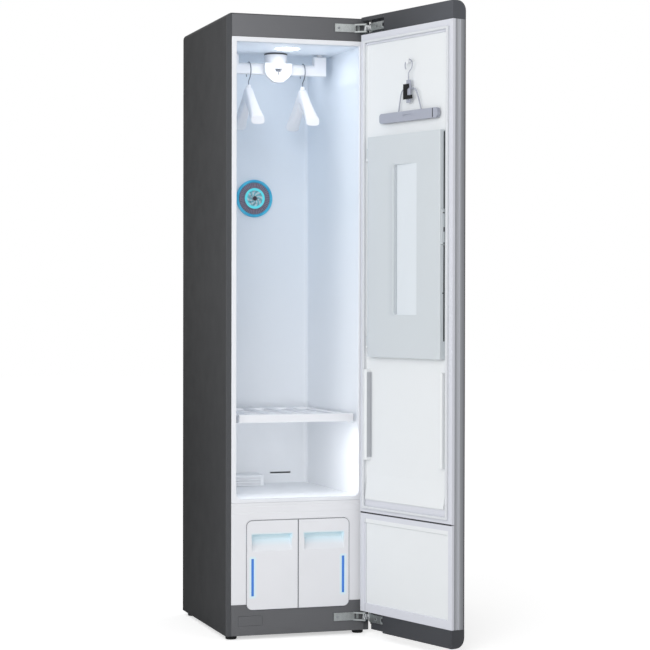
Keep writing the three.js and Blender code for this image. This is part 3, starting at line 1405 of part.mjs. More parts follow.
const clip_hook_points = arc(0, clip_hook_height, clip_hook_radius, clip_hook_tip_turn, clip_hook_end_turn,
  hook_bends)
  .map((each) => at_door([hook_across - each.x, clip_hook_proud, each.y]));
clip_hook_points.push(at_door([hook_across, clip_hook_proud, clip_hook_height - clip_hook_radius * 1.35]));
clip_hook_points.push(at_door([hook_across, clip_hook_proud, clip_plate_top - clip_wire_radius]));
const lock_neck_half = 1.6;
const lock_slot_rise = 4;
const lock_slot_height = 16.5;
const lock_slot_low = clip_plate_bottom + lock_slot_rise;
const lock_slot_high = lock_slot_low + lock_slot_height;
const clip_bar_prism = (low, high) => prism('y', rounded(across(hook_across + clip_bar_half), clip_bar_low,
  across(hook_across - clip_bar_half), clip_bar_high, clip_bar_radius), proud(low), proud(high));
const clip_slab = (half, low_proud, high_proud, low, high) => door_slab(hook_across - half,
  hook_across + half,
  low_proud, high_proud, low, high);
add_to_door('clip_hanger', cut(join(
  wire(clip_hook_points, clip_wire_radius, 22, 6),
  clip_slab(clip_plate_half, clip_plate_low_proud, clip_plate_high_proud, clip_plate_bottom, clip_plate_top),
  wire(clip_frame_points.map(at_door), clip_wire_radius * 1.25, 22, 6),
  clip_bar_prism(clip_bar_low_proud, clip_bar_high_proud),
), clip_slab(lock_neck_half + seat_gap, clip_plate_low_proud - running_gap,
  clip_plate_high_proud + running_gap,
  lock_slot_low, lock_slot_high)), 'grey_bar');

const jaw_slot_half = 23;
const jaw_slot_rise = 13;
const jaw_slot_height = 6;
const jaw_slot_depth = 2;
const jaw_slot_low = clip_bar_low + jaw_slot_rise;
add_to_door('clip_jaw', cut(
  clip_bar_prism(clip_jaw_low_proud, clip_jaw_high_proud),
  clip_slab(jaw_slot_half, clip_jaw_high_proud - jaw_slot_depth, overrun, jaw_slot_low,
    jaw_slot_low + jaw_slot_height),
), 'grey_bar');

// The lock is a bent lever with a neck through the plate's slot and a head behind the plate
const lock_low_proud = 10;
const lock_high_proud = 13;
const lock_left = 20;
const lock_right = 21;
const lock_height = 44;
const lock_shares = [[-1, 0], [1, 0], [1, 0.25], [-0.2, 0.25], [-0.2, 0.64], [0.25, 0.75], [0.25, 1],
  [-1, 1]];
const lock_drop = 10;
const lock_low = lock_slot_high - lock_drop;
const lock_neck_height = 8;
const lock_rest_gap = 0.6;
const lock_neck_high = lock_slot_high - lock_rest_gap;
const lock_head_half = 5;
const lock_head_low_proud = 3.4;
const lock_head_high_proud = 6.1;
add_to_door('clip_lock', join(
  prism('y', lock_shares.map(([sideways, up]) => point(
    across(hook_across + sideways * (sideways < 0 ? lock_left : lock_right)), lock_low + up * lock_height)),
  proud(lock_low_proud), proud(lock_high_proud)),
  clip_slab(lock_neck_half, lock_head_low_proud, lock_high_proud, lock_neck_high - lock_neck_height,
    lock_neck_high),
  clip_slab(lock_head_half, lock_head_low_proud, lock_head_high_proud, lock_neck_high - lock_neck_height,
    lock_neck_high - lock_rest_gap),
), 'black_moulding');

// The door stands open: half of its turn is made on the cabinet's pivots and half on its own
const half_turn = THREE.MathUtils.degToRad(door_open_turn / 2);
door.position.set(door_pivot.x - cabinet_pivot.x, door_pivot.y - cabinet_pivot.y, 0);
door.rotation.z = half_turn;
links.position.set(cabinet_pivot.x, cabinet_pivot.y, 0);
links.rotation.z = half_turn;
links.add(door);
cabinet.add(links);

// The origin goes to the middle of the box at floor level
const steam_cabinet = new THREE.Group();
steam_cabinet.add(cabinet);
const extent = new THREE.Box3().setFromObject(steam_cabinet, true);
const middle = extent.getCenter(new THREE.Vector3());
cabinet.position.set(-middle.x, -middle.y, -extent.min.z);

export default steam_cabinet;
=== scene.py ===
"""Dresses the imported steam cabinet: finishes, softened edges, small fittings, studio and camera."""

import json
import math

import bmesh
import bpy
from mathutils import Matrix, Vector


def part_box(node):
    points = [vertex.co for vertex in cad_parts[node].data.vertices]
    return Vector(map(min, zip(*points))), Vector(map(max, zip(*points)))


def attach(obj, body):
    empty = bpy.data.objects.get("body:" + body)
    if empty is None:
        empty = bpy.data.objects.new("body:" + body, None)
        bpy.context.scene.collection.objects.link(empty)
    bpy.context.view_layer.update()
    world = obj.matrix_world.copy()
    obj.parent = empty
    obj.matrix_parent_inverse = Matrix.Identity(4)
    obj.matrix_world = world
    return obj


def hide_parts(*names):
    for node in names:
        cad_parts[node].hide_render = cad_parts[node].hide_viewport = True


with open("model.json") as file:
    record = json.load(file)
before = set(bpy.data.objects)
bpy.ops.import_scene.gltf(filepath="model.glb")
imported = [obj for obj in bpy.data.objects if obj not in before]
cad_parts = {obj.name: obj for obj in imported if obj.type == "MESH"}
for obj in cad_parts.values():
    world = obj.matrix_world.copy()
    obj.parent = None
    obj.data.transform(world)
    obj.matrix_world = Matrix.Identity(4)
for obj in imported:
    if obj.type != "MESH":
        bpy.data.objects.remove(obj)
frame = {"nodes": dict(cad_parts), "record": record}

bl_info = {
    "name": "Steam Cabinet Dressing",
    "version": (1, 0, 0),
    "blender": (4, 5, 0),
    "location": "3D View > Sidebar > Cabinet",
    "description": "Finishes, fittings, studio and camera for a clothes care steam cabinet",
    "category": "Object",
}

MM = 0.001
FULL_TURN = 2 * math.pi
QUARTER_TURN = math.pi / 2
PACKED_SPACE = Matrix()
BLACK = (0, 0, 0)
WHITE = (1, 1, 1)

# Points this close are one, in new meshes and in packed ones
WELD = 0.005 * MM
PACKED_WELD = 0.01 * MM

# Rounding of thin metal and small edges, in millimetres, and the least angle in degrees that is rounded.
# Faces with more corners than this are cut into triangles first
FINE_EDGE = 0.5
EASED_ANGLE = 30
MOST_CORNERS = 12

# The middle of the cabinet's front face at floor level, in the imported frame
KICK_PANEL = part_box("kick_panel")
MIDDLE_X = (KICK_PANEL[0][0] + KICK_PANEL[1][0]) / 2
FRONT_Y = KICK_PANEL[0][1]

# The door turns by half of its angle about each pin of its double hinge
DOOR_TURN = math.radians(106.8)
CABINET_PIN = Vector((204, -17, 0))
DOOR_PIN = Vector((205, -37, 0))
DOOR_HALF = 220.5
DOOR_INNER_Y = -8

# The strip of painted shade in the seam between the door's linings: from and to in height and over the inner
# face, and its ends' distance
DOOR_SEAM_HEIGHTS = (368.8, 373.2)
DOOR_SEAM_LIFTS = (-7, 0.3)
DOOR_SEAM_END = 2

# What is painted on the door's lining: frame's inner edges across the door and in height, the band over its
# lower part, the line beside its hinge edge, and painted shade on the rib's side, on what stands up to 9.5 mm
# over the inner face
LINING_SIDES = (23 * MM, 424 * MM)
LINING_ENDS = (101 * MM, 1764 * MM)
LINING_BAND = (354 * MM, 410 * MM)
LINING_LINE = (24 * MM, 26.5 * MM)
RIB_SHADE_SIDES = (45.8 * MM, 51 * MM)
RIB_SHADE_ENDS = (540 * MM, 790 * MM)
RIB_SHADE_REACH = (-10 * MM, -9.5 * MM)

# The lighter strip of the door's tray, from and to behind the inner face, and how soon painted shade
# darkens the tray after that
TRAY_LIGHT = (18 * MM, 27 * MM)
TRAY_SHADE_FADE = 12 * MM

# The hinges: the plates' outer edge and sheet, the bracket's screw, the door plate's holes, and the pins
HINGE_OUTER_X = 190
HINGE_SHEET = 3
BRACKET_SCREW_X = 124
DOOR_PLATE_Y = -23.7
PLATE_HOLES = ((HINGE_OUTER_X - 32, 3.2), (HINGE_OUTER_X - 64, 6.5))
PIN_HALF = 13.5
PIN_PROFILE = ((0, -0.3), (3.1, -0.3), (2.9, 0.5), (1.9, 1), (0, 1.1))
SCREW_LIFT = 0.2
SCREW_PROFILE = ((0, 1.1), (1.1, 1.1), (1.3, 0.6), (2.4, 2), (3.9, 1.4), (4.3, 0), (0, 0))

# The press's recess: from and to across the door and in height, the panel's face over the door, and the
# round on the recess's hinge side, in metres
PRESS_WINDOW = (185, 301, 963, 1399.7)
PRESS_FACE = 18
RECESS_ROUND = 6 * MM

# The strip of painted shadow on the press's free side, thinner beside the latch: from and to over the door
# and in height, and the gap at the latch's ends. It and the marks stand out of the side and sink into it
STRIP_LIFTS = (-0.4, 4.2)
LATCH_STRIP_LIFTS = (-0.4, 1.4)
STRIP_HEIGHTS = (889, 1483)
LATCH_GAP = 2
MARK_RISE = 0.5
MARK_SINK = 0.6

# Dark marks of painted shade on the same side: name, piece that carries it, from and to over the door, from
# and to in height
PRESS_MARKS = (
    ("press_stop", "press_panel", (4.2, 8), (1024, 1027)),
    ("press_catch_upper", "press_latch", (2.4, 9), (1251, 1254)),
    ("press_catch_middle", "press_latch", (2.4, 6.4), (1199, 1212)),
    ("press_catch_lower", "press_latch", (2.4, 6.4), (1164, 1169)),
)

# The press's pad: height of its rim and underside as shares of its thickness, and how far its edges draw in
PAD_RIM = 0.45
PAD_UNDERSIDE = 0.02
PAD_SIDE_DRAW = 0.02
PAD_END_DRAW = 0.006

# The line of painted shade on the clamp's jaw: from and to across the door and over the jaw, and its
# distance from the edges
JAW_LINE = (360.5, 364.5)
JAW_LINE_LIFTS = (-0.6, 0.1)
JAW_MARGIN = 1.2

# A garment hanger's arm, as shares of its size: where its sections lie, then its tip's place, drop, half
# width and half height. The sections are softly squared ovals. The neck's profile is in millimetres
HANGER_STATIONS = (0, 0.15, 0.3, 0.45, 0.6, 0.75, 0.88, 0.96, 0.99)
HANGER_TIP = (0.997, 0.89, 0.88, 0.085)
OVAL_SIDES = 16
OVAL_POWER = 0.62
NECK_PROFILE = ((0, -26), (7.5, -26), (7.5, -6), (6.2, -1.2), (3.5, -0.3), (0, -0.3))

# The air outlet: its lit ring's width and profile, in shares of width and depth, then its face's radii and
# profile, with radii in millimetres and heights in shares of its depth
RING_WIDTH = 9 * MM
RING_PROFILE = ((0, 0), (0, 0.6), (0.18, 0.88), (0.5, 1), (0.82, 0.88), (1, 0.6), (1, 0), (0, 0))
EYE_RADIUS = 9 * MM
HUB_RADIUS = 30 * MM
INNER_RING = (26 * MM, 32.5 * MM)
RIB_ROOT = 34.5 * MM
OUTLET_RIBS = 24
OUTLET_PROFILE = (
    (0, 0.86), (6, 0.84), (6.5, 0.98), (9, 1), (22.5, 0.95), (24, 0.9), (25.5, 0.97), (33, 0.9), (34.5, 0.55),
    (40, 0.42))

# The block of painted shade in the notch of the bar's centre cover: half width, from and to in depth, and in
# height as shares of the cover
NOTCH_HALF = 8 * MM
NOTCH_DEPTHS = (5.4 * MM, 7.5 * MM)
NOTCH_HEIGHTS = (0.57, 0.75)

# The ceiling lamp's lens as shares of its radius and height, the gap from it to the lamp that lights the
# compartment, and the ring of painted shade round the bar's hub in millimetres
LAMP_GAP = 4 * MM
LENS_PROFILE = ((0, 0), (0.5, 0.05), (0.8, 0.22), (0.95, 0.5), (1, 0.8), (1, 1), (0, 1))
HUB_RING_PROFILE = ((-3, -3.4), (0.4, -3.4), (0.4, -0.2), (-3, -0.2), (-3, -3.4))

# The tank fronts: their grip pockets' roofs from the top edge and walls from the sides, and how far the
# strips of painted gap shade lie from the edges and behind the face, and how thick they are
GRIP_DROP = 42 * MM
GRIP_SIDE = 19 * MM
SEAM_INSET = 0.1 * MM
SEAM_SINK = 0.2 * MM
SEAM_SHEET = 0.35 * MM

# The backing inside the air intake: its distance from the front, the sides and the ends, and its sheet
INTAKE_WALL = 4 * MM
INTAKE_SIDE = 5 * MM
INTAKE_END = 4 * MM
INTAKE_SHEET = 2 * MM

# The photo's camera: place in millimetres from the middle of the front face, then yaw, tilt and roll in
# degrees, and its lens and sensor in millimetres
CAMERA_PLACE = (-1734.6, -5608.1, 1002.0)
CAMERA_ANGLES = (17.958, 0.69, 0.112)
CAMERA_LENS = 109.2
CAMERA_SENSOR = 36

# The Mix node's colour sockets share their names with others, so they are called by number
MIX_FACTOR, MIX_FIRST, MIX_SECOND, MIX_RESULT = 0, 6, 7, 2


def linear(value):
    """One colour channel from screen value to light value."""
    return value / 12.92 if value <= 0.04045 else ((value + 0.055) / 1.055) ** 2.4


def shade(code):
    """Light values of a colour code."""
    return tuple(linear(int(code[start:start + 2], 16) / 255) for start in (1, 3, 5))


def times(colour, factor):
    """A darker or lighter colour."""
    return [channel * factor for channel in colour]


def place(x, y, z):
    """A point given in millimetres from the middle of the front face at floor level."""
    return Vector((MIDDLE_X + x * MM, FRONT_Y + y * MM, z * MM))


def box_middle(node):
    """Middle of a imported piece's box."""
    return [(low + high) / 2 for low, high in zip(*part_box(node))]


def box_size(node):
    """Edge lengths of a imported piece's box."""
    return [high - low for low, high in zip(*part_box(node))]


def cabinet_space():
    """Turns millimetres in the cabinet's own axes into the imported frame."""
    return Matrix.Translation((MIDDLE_X, FRONT_Y, 0)) @ Matrix.Scale(MM, 4)


def link_space():
    """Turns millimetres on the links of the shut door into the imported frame, where the door stands open."""
    half = Matrix.Rotation(DOOR_TURN / 2, 4, "Z")
    return cabinet_space() @ Matrix.Translation(CABINET_PIN) @ half @ Matrix.Translation(-CABINET_PIN)


def door_space():
    """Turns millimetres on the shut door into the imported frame, where the door stands open."""
    half = Matrix.Rotation(DOOR_TURN / 2, 4, "Z")
    return link_space() @ Matrix.Translation(DOOR_PIN) @ half @ Matrix.Translation(-DOOR_PIN)


def door_axis(index):
    """Direction of the shut door's own X or Y axis, where the door stands open."""
    return door_space().to_3x3().col[index].normalized()


def across(distance):
    """Place along the shut door, from its hinge edge."""
    return DOOR_HALF - distance


def proud(height):
    """Place over the shut door's inner face, towards the cabinet."""
    return DOOR_INNER_Y + height


# Shader helpers


class Socket:
    """A shader output that takes part in arithmetic."""

    def __init__(self, graph, socket):
        self.graph = graph
        self.socket = socket

    def __add__(self, other):
        return self.graph.maths("ADD", self, other)

    __radd__ = __add__

    def __sub__(self, other):
        return self.graph.maths("SUBTRACT", self, other)

    def __rsub__(self, other):
        return self.graph.maths("SUBTRACT", other, self)

    def __mul__(self, other):
        return self.graph.maths("MULTIPLY", self, other)

    __rmul__ = __mul__

    def __pow__(self, other):
        return self.graph.maths("POWER", self, other)


class Graph:
    """Builds a node tree, one call for each node."""

    def __init__(self, owner):
        owner.use_nodes = True
        self.owner = owner
        self.tree = owner.node_tree
        self.tree.nodes.clear()

    def node(self, kind, settings=None, inputs=None, output=0):
        made = self.tree.nodes.new(kind)
        for key, value in (settings or {}).items():
            setattr(made, key, value)
        for key, value in (inputs or {}).items():
            self.feed(made.inputs[key], value)
        return None if output is None else Socket(self, made.outputs[output])

    def feed(self, socket, value):
        if isinstance(value, Socket):
            self.tree.links.new(value.socket, socket)
        elif isinstance(value, (tuple, list)) and socket.type == "RGBA" and len(value) == 3:
            socket.default_value = (*value, 1)
        else:
            socket.default_value = value

    def maths(self, operation, *values):
        return self.node("ShaderNodeMath", {"operation": operation}, dict(enumerate(values)))

    def largest(self, first, *others):
        for other in others:
            first = self.maths("MAXIMUM", first, other)
        return first


class Finish(Graph):
    """Builds one material."""

    def __init__(self, name):
        super().__init__(bpy.data.materials.new(name))

    def spot(self):
        """Place on the object, in metres."""
        return self.node("ShaderNodeTexCoord", output="Object")

    def coordinates(self, scale=(1, 1, 1)):
        return self.node("ShaderNodeMapping", inputs={"Vector": self.spot(), "Scale": scale})

    def noise(self, scale, detail=3, stretch=(1, 1, 1), roughness=0.55):
        return self.node("ShaderNodeTexNoise", inputs={
            "Vector": self.coordinates(stretch), "Scale": scale, "Detail": detail, "Roughness": roughness})

    def ramp(self, value, low, high, first=0, last=1):
        """Value from low to high gives first to last."""
        return self.node("ShaderNodeMapRange", {"clamp": True}, {
            "Value": value, "From Min": low, "From Max": high, "To Min": first, "To Max": last})

    def mix(self, factor, first, second):
        return self.node("ShaderNodeMix", {"data_type": "RGBA"}, {
            MIX_FACTOR: factor, MIX_FIRST: first, MIX_SECOND: second}, MIX_RESULT)

    def blend(self, value, first, second, low=0.3, high=0.7):
        """The first colour where a value is low, and the second where it is high."""
        return self.mix(self.ramp(value, low, high), first, second)

    def scaled(self, colour, factor):
        """A colour made darker or lighter by a varying factor."""
        return self.blend(factor, BLACK, times(colour, 2), 0, 2)

    def sheen(self, noise, low, high):
        """Roughness that follows a noise."""
        return self.ramp(noise, 0.3, 0.7, low, high)

    def bump(self, height, strength, distance=0.001):
        return self.node("ShaderNodeBump", inputs={
            "Height": height, "Strength": strength, "Distance": distance})

    def orange_peel(self):
        """The faint waves of sprayed paint."""
        return self.bump(self.noise(900, 2), 0.08, 0.0002)

    def surface(self, **inputs):
        names = {key.replace("_", " "): value for key, value in inputs.items()}
        return self.finished(self.node("ShaderNodeBsdfPrincipled", inputs=names))

    def moulded(self, colour, low, high, grain, scale=1400):
        """A plastic surface with a fine spark grain, its roughness from low to high."""
        spark = self.noise(scale, 2, roughness=0.7)
        return self.surface(
            Base_Color=colour,
            Roughness=self.sheen(spark, low, high),
            Normal=self.bump(spark, grain, 0.0001))

    def finished(self, shader):
        self.node("ShaderNodeOutputMaterial", inputs={"Surface": shader}, output=None)
        return self.owner

    def place_along(self, axis):
        """Place on the object along X, Y or Z, in metres."""
        return self.node("ShaderNodeSeparateXYZ", inputs={0: self.spot()}, output=axis)

    def from_door_corner(self, direction):
        """Distance from the foot of the shut door's inner hinge edge along a direction, in metres."""
        corner = door_space() @ Vector((DOOR_HALF, DOOR_INNER_Y, 0))
        offset = self.node("ShaderNodeVectorMath", {"operation": "SUBTRACT"}, {0: self.spot(), 1: corner[:]})
        return self.node("ShaderNodeVectorMath", {"operation": "DOT_PRODUCT"}, {
            0: offset, 1: direction[:]}, "Value")

    def across_door(self):
        """Distance across the door from its hinge edge, in metres."""
        return self.from_door_corner(-door_axis(0))

    def into_door(self):
        """Depth behind the door's inner face, in metres."""
        return self.from_door_corner(-door_axis(1))

    def beyond(self, value, low, high):
        """How far a value lies outside the span from low to high."""
        return self.largest(low - value, value - high, 0)

    def within(self, value, low, high, soft=0.0005):
        """One between low and high, and nothing outside."""
        return self.ramp(self.beyond(value, low, high), 0, soft, 1, 0)


# Finishes


def painted_steel(name, colour):
    """Baked paint on pressed sheet, with painted shade towards the back and a painted highlight on the folded
    front edge.
    """
    finish = Finish(name)
    settings = bpy.context.scene.cabinet_finish
    roughness = settings.paint_roughness
    back = finish.place_along("Y") - FRONT_Y
    # Painted shade: the paint darkens towards the back, with a little random tone over it
    level = finish.ramp(back, 0, 0.5, 1, 0.42) * finish.ramp(finish.noise(3, 3), 0.35, 0.7, 0.97, 1.04)
    # Painted highlight along the folded front edge
    rim = finish.ramp(back, 1.2 * MM, 2.2 * MM, settings.painted_edge_highlight, 0)
    return finish.surface(
        Base_Color=finish.scaled(colour, level + rim),
        Roughness=finish.sheen(finish.noise(14, 4), roughness - 0.02, roughness + 0.03),
        Specular_IOR_Level=settings.paint_specular,
        Normal=finish.orange_peel())


def door_tray(name, colour):
    """Grey door tray, with a lighter strip along its sides and painted shade darkening it behind that strip.
    """
    finish = Finish(name)
    depth = finish.into_door()
    light = finish.within(depth, *TRAY_LIGHT)
    # Painted shade darkens the tray behind the lighter strip
    outer = finish.ramp(depth, TRAY_LIGHT[1], TRAY_LIGHT[1] + TRAY_SHADE_FADE, 0, 0.45)
    return finish.surface(
        Base_Color=finish.scaled(colour, 1.2 + light * 0.5 - outer),
        Roughness=finish.sheen(finish.noise(14, 4), 0.4, 0.47),
        Specular_IOR_Level=0.2,
        Normal=finish.orange_peel())


def face_moulding(name, colour):
    """Dark moulding of the face, with painted light towards the left of the header and painted shade to its
    right.
    """
    finish = Finish(name)
    # Painted light and shade across the face, strongest high up on the header
    over = finish.ramp(finish.place_along("X"), KICK_PANEL[0][0], KICK_PANEL[1][0], 0.3, -0.15)
    level = 1 + over * finish.ramp(finish.place_along("Z"), 0.2, 1.7)
    return finish.moulded(finish.scaled(colour, level), 0.37, 0.48, 0.15)


def cap_moulding(name, colour):
    """Dark end cap of the door; on the upper one, painted shade near the hinge end and painted light at the
    free end.
    """
    finish = Finish(name)
    # Painted shade and light along the upper cap
    over = finish.ramp(finish.across_door(), 0.17, 2 * DOOR_HALF * MM, 0.85, 1.7)
    upper = finish.ramp(finish.place_along("Z"), 0.8, 1)
    return finish.moulded(finish.scaled(colour, 1 + (over - 1) * upper), 0.4, 0.51, 0.15)


def door_lining(name, colour, frame_colour, line_and_rib_shade_colour):
    """White lining of the door with its slightly darker frame, a thin line and painted shade beside a rib."""
    finish = Finish(name)
    over, up = finish.across_door(), finish.place_along("Z")
    ends = finish.beyond(up, *LINING_ENDS) + finish.within(up, *LINING_BAND)
    rim = finish.ramp(finish.largest(finish.beyond(over, *LINING_SIDES), ends), 0, 0.001)
    under_band = finish.ramp(up, LINING_BAND[0], LINING_BAND[0] + 0.001, 0.55, 0)
    line = finish.within(over, *LINING_LINE) * under_band
    # Painted shade on the side face of the rib
    rib = finish.within(over, *RIB_SHADE_SIDES, 0.002) * finish.within(up, *RIB_SHADE_ENDS, 0.004)
    painted_rib_shade = rib * finish.ramp(finish.into_door(), *RIB_SHADE_REACH)
    base = finish.mix(rim, colour, frame_colour)
    drawn = finish.mix(finish.largest(line, painted_rib_shade * 0.7), base, line_and_rib_shade_colour)
    return finish.moulded(drawn, 0.35, 0.46, 0.08)


def link_steel(name, dark, light):
    """Plated links with painted reflections, light and dark streaks along their folds."""
    finish = Finish(name)
    bands = finish.noise(120, 1, (3, 3, 0.6), 0.4)
    # The noise paints the reflections and also varies the roughness and bumps
    return finish.surface(
        Base_Color=finish.blend(bands, dark, light, 0.46, 0.56),
        Metallic=0.45,
        Roughness=finish.sheen(bands, 0.3, 0.42),
        Normal=finish.bump(bands, 0.2, 0.0004))


def moulding(name, colour, roughness, grain=0.15):
    """Moulded plastic with a fine spark grain."""
    finish = Finish(name)
    tone = finish.blend(finish.noise(6, 2), times(colour, 0.97), colour)
    return finish.moulded(tone, roughness - 0.05, roughness + 0.06, grain)


def liner_plastic(name, low_colour, painted_lamp_tint_colour):
    """White compartment plastic, with painted cool lamp light making it a little bluer towards the top."""
    finish = Finish(name)
    # Painted lamp light: the colour turns towards the lamp tint with height, with some random tone
    height = finish.place_along("Z") + (finish.noise(3, 3) - 0.5) * 0.3
    return finish.moulded(finish.blend(height, low_colour, painted_lamp_tint_colour, 0.5, 1.6), 0.34, 0.43, 0.08, 1200)


def bright_metal(name, colour, roughness, brushed=0.1):
    """Plated or polished metal with fine drawing lines."""
    finish = Finish(name)
    lines = finish.noise(300, 4, (1, 1, 14), 0.7)
    return finish.surface(
        Base_Color=finish.blend(finish.noise(90, 3), colour, times(colour, 0.86), 0.35, 0.75),
        Metallic=1.0,
        Roughness=finish.sheen(lines, roughness, roughness + 0.12),
        Normal=finish.bump(lines, brushed, 0.0001))


def zinc_sheet(name, dark, light):
    """Galvanised sheet with its pale spangle."""
    finish = Finish(name)
    flakes = finish.node("ShaderNodeTexVoronoi", inputs={
        "Vector": finish.coordinates(), "Scale": 90}, output="Color")
    grey = finish.node("ShaderNodeRGBToBW", inputs={0: flakes})
    return finish.surface(
        Base_Color=finish.blend(grey, dark, light, 0.2, 0.8),
        Metallic=1.0,
        Roughness=finish.ramp(grey, 0.1, 0.9, 0.34, 0.5))


def rubber(name, colour, roughness=0.7):
    """Soft rubber with a dusty matt skin."""
    finish = Finish(name)
    dust = finish.noise(500, 4)
    dusty = [channel * 1.25 + 0.01 for channel in colour]
    return finish.surface(
        Base_Color=finish.mix(finish.ramp(dust, 0.45, 0.75, 0, 0.5), colour, dusty),
        Roughness=finish.sheen(dust, roughness - 0.08, roughness + 0.08),
        Normal=finish.bump(dust, 0.2, 0.0002))


def tank_plastic(name, dark, light):
    """Clear bluish moulding for the water tanks."""
    finish = Finish(name)
    cloud = finish.noise(40, 3)
    return finish.surface(
        Base_Color=finish.blend(cloud, dark, light),
        Roughness=finish.sheen(cloud, 0.14, 0.24),
        IOR=1.49,
        Transmission_Weight=0.65)


def dark_glass(name, dark, light):
    """Near-black mirror glass with a hint of depth."""
    finish = Finish(name)
    haze = finish.noise(7, 3)
    return finish.surface(
        Base_Color=finish.blend(haze, dark, light),
        Roughness=finish.sheen(haze, 0.03, 0.06),
        Coat_Weight=1.0,
        Coat_Roughness=0.02)


def glow(name, colour, strength, edge_colour=None):
    """A lit lens, a touch uneven like a moulded light guide."""
    finish = Finish(name)
    lighter = edge_colour or [min(1, channel) for channel in times(colour, 1.12)]
    tone = finish.blend(finish.noise(30, 3), colour, lighter, 0.35)
    return finish.surface(
        Base_Color=tone,
        Roughness=0.3,
        Emission_Color=tone,
        Emission_Strength=strength)


def tank_front(name, colour, plate, window):
    """White tank front with a painted glow round its window and painted light in its grip pocket."""
    finish = Finish(name)
    over, back, up = (finish.place_along(axis) for axis in "XYZ")
    aside = finish.beyond(over, window[0][0], window[1][0])
    above = finish.beyond(up, window[0][2], window[1][2])
    # Painted glow round the window, spilling onto the plate
    painted_window_glow = finish.ramp((aside * aside + above * above) ** 0.5, 0.5 * MM, 9 * MM, 0.8, 0)
    roof = plate[1][2] - GRIP_DROP
    inside = finish.ramp(back, plate[0][1] + 0.6 * MM, plate[0][1] + 4 * MM)
    under_roof = finish.ramp(up, roof, roof + 0.5 * MM, 1, 0)
    # Painted light in the grip pocket under its roof, spilling out below it and beside it
    lit = finish.ramp(up, roof - 36 * MM, roof - 2 * MM, 0, 0.75) * under_roof * inside
    beside = finish.beyond(over, plate[0][0] + GRIP_SIDE, plate[1][0] - GRIP_SIDE)
    below = finish.beyond(up, roof - 10 * MM, roof)
    painted_light_spill = finish.ramp(below, 0, 6 * MM, 0.5, 0) * finish.ramp(beside, 0, 6 * MM, 1, 0)
    base = finish.blend(finish.noise(6, 2), times(colour, 0.98), colour)
    return finish.surface(
        # The painted glow and grip light also shine by emission
        Base_Color=finish.mix(finish.largest(painted_window_glow, lit * 0.8, painted_light_spill), base, shade("#cfeef7")),
        Roughness=0.32,
        Emission_Color=finish.mix(finish.largest(painted_window_glow * 0.6, lit), BLACK, shade("#c4eefa")),
        Emission_Strength=0.14,
        Normal=finish.bump(finish.noise(1400, 2), 0.05, 0.0001))


def press_plastic(name, colour, painted_floor_light_colour, painted_shade_colour):
    """Pale grey moulding, with painted shade on the recess's hinge side and painted light on its sloping
    floor.
    """
    finish = Finish(name)
    over = finish.across_door() - PRESS_WINDOW[0] * MM
    up = finish.place_along("Z") - PRESS_WINDOW[2] * MM
    depth = finish.into_door() + PRESS_FACE * MM
    width, height = ((PRESS_WINDOW[start + 1] - PRESS_WINDOW[start]) * MM for start in (0, 2))
    inside = finish.within(over, 0, width, 2 * MM) * finish.within(up, 0, height, 2 * MM)
    # Painted light on the recess's floor
    painted_floor_light = finish.ramp(depth, 0.05 * MM, 0.6 * MM) * inside * finish.ramp(over, 7 * MM, 9 * MM)
    # Painted shade down the slope and along a dark line at the recess's hinge side
    slope = finish.ramp(over, -30 * MM, 9 * MM, 0, 0.3) * finish.ramp(over, 9 * MM, 9.5 * MM, 1, 0)
    long_painted_slope_shade = slope * finish.within(up, 4 * MM, height - 4 * MM, 12 * MM)
    painted_crease_shade = finish.within(over, 5.5 * MM, 7.5 * MM, 1.5 * MM)
    long_painted_crease_shade = painted_crease_shade * finish.within(up, 3 * MM, height - 3 * MM, 2 * MM)
    base = finish.mix(finish.largest(long_painted_slope_shade, long_painted_crease_shade), colour, painted_shade_colour)
    return finish.moulded(finish.mix(painted_floor_light, base, painted_floor_light_colour), 0.45, 0.56, 0.12)


def foam_cloth(name, dark, light):
    """Heat-proof cloth over foam, a close plain weave."""
    finish = Finish(name)
    across_threads, up_threads = (
        finish.node("ShaderNodeTexWave", {"bands_direction": axis}, {
            "Vector": finish.coordinates(), "Scale": 420, "Distortion": 0.4})
        for axis in "XZ")
    weave = (across_threads + up_threads) * 0.5
    return finish.surface(
        Base_Color=finish.blend(finish.noise(18, 3), dark, light),
        Roughness=finish.ramp(weave, 0, 1, 0.75, 0.92),
        Normal=finish.bump(weave, 0.4, 0.0003))


def outlet_rings(name, centre_x, centre_z):
    """Lit ring, ribs and speckle of the round air outlet, by distance from its middle."""
    finish = Finish(name)
    over = finish.place_along("X") - centre_x
    up = finish.place_along("Z") - centre_z
    radius = (over * over + up * up) ** 0.5
    angle = finish.maths("ARCTAN2", up, over)
    ribs = finish.ramp(finish.maths("SINE", angle * 48.0), -0.3, 0.3)
    petals = finish.maths("SINE", angle * 8.0 + radius * 300.0)
    speckle = finish.noise(160, 3)
    annulus = finish.mix(ribs, shade("#5c5a6c"), shade("#8f8a9c"))
    annulus = finish.mix(finish.ramp(speckle, 0.55, 0.7, 0, 0.55), annulus, shade("#b88f94"))
    hub = finish.blend(petals, shade("#6fb9c4"), shade("#c3d6dc"), -0.2, 0.4)
    hub = finish.mix(finish.ramp(speckle, 0.5, 0.62, 0, 0.7), hub, shade("#5a5d70"))
    hub = finish.blend(radius, shade("#43303c"), hub, EYE_RADIUS - 3 * MM, EYE_RADIUS)
    face = finish.blend(radius, hub, annulus, HUB_RADIUS - 1 * MM, HUB_RADIUS)
    inner, outer = INNER_RING
    ring = finish.ramp(radius, inner - 1.5 * MM, inner) * finish.ramp(radius, outer, outer + 1.5 * MM, 1, 0)
    return finish.surface(
        Base_Color=finish.mix(ring, face, shade("#63e0ea")),
        Roughness=0.45,
        Emission_Color=finish.mix(ring, BLACK, shade("#63e0ea")),
        Emission_Strength=0.15,
        Normal=finish.bump(ribs, 0.3, 0.0005))


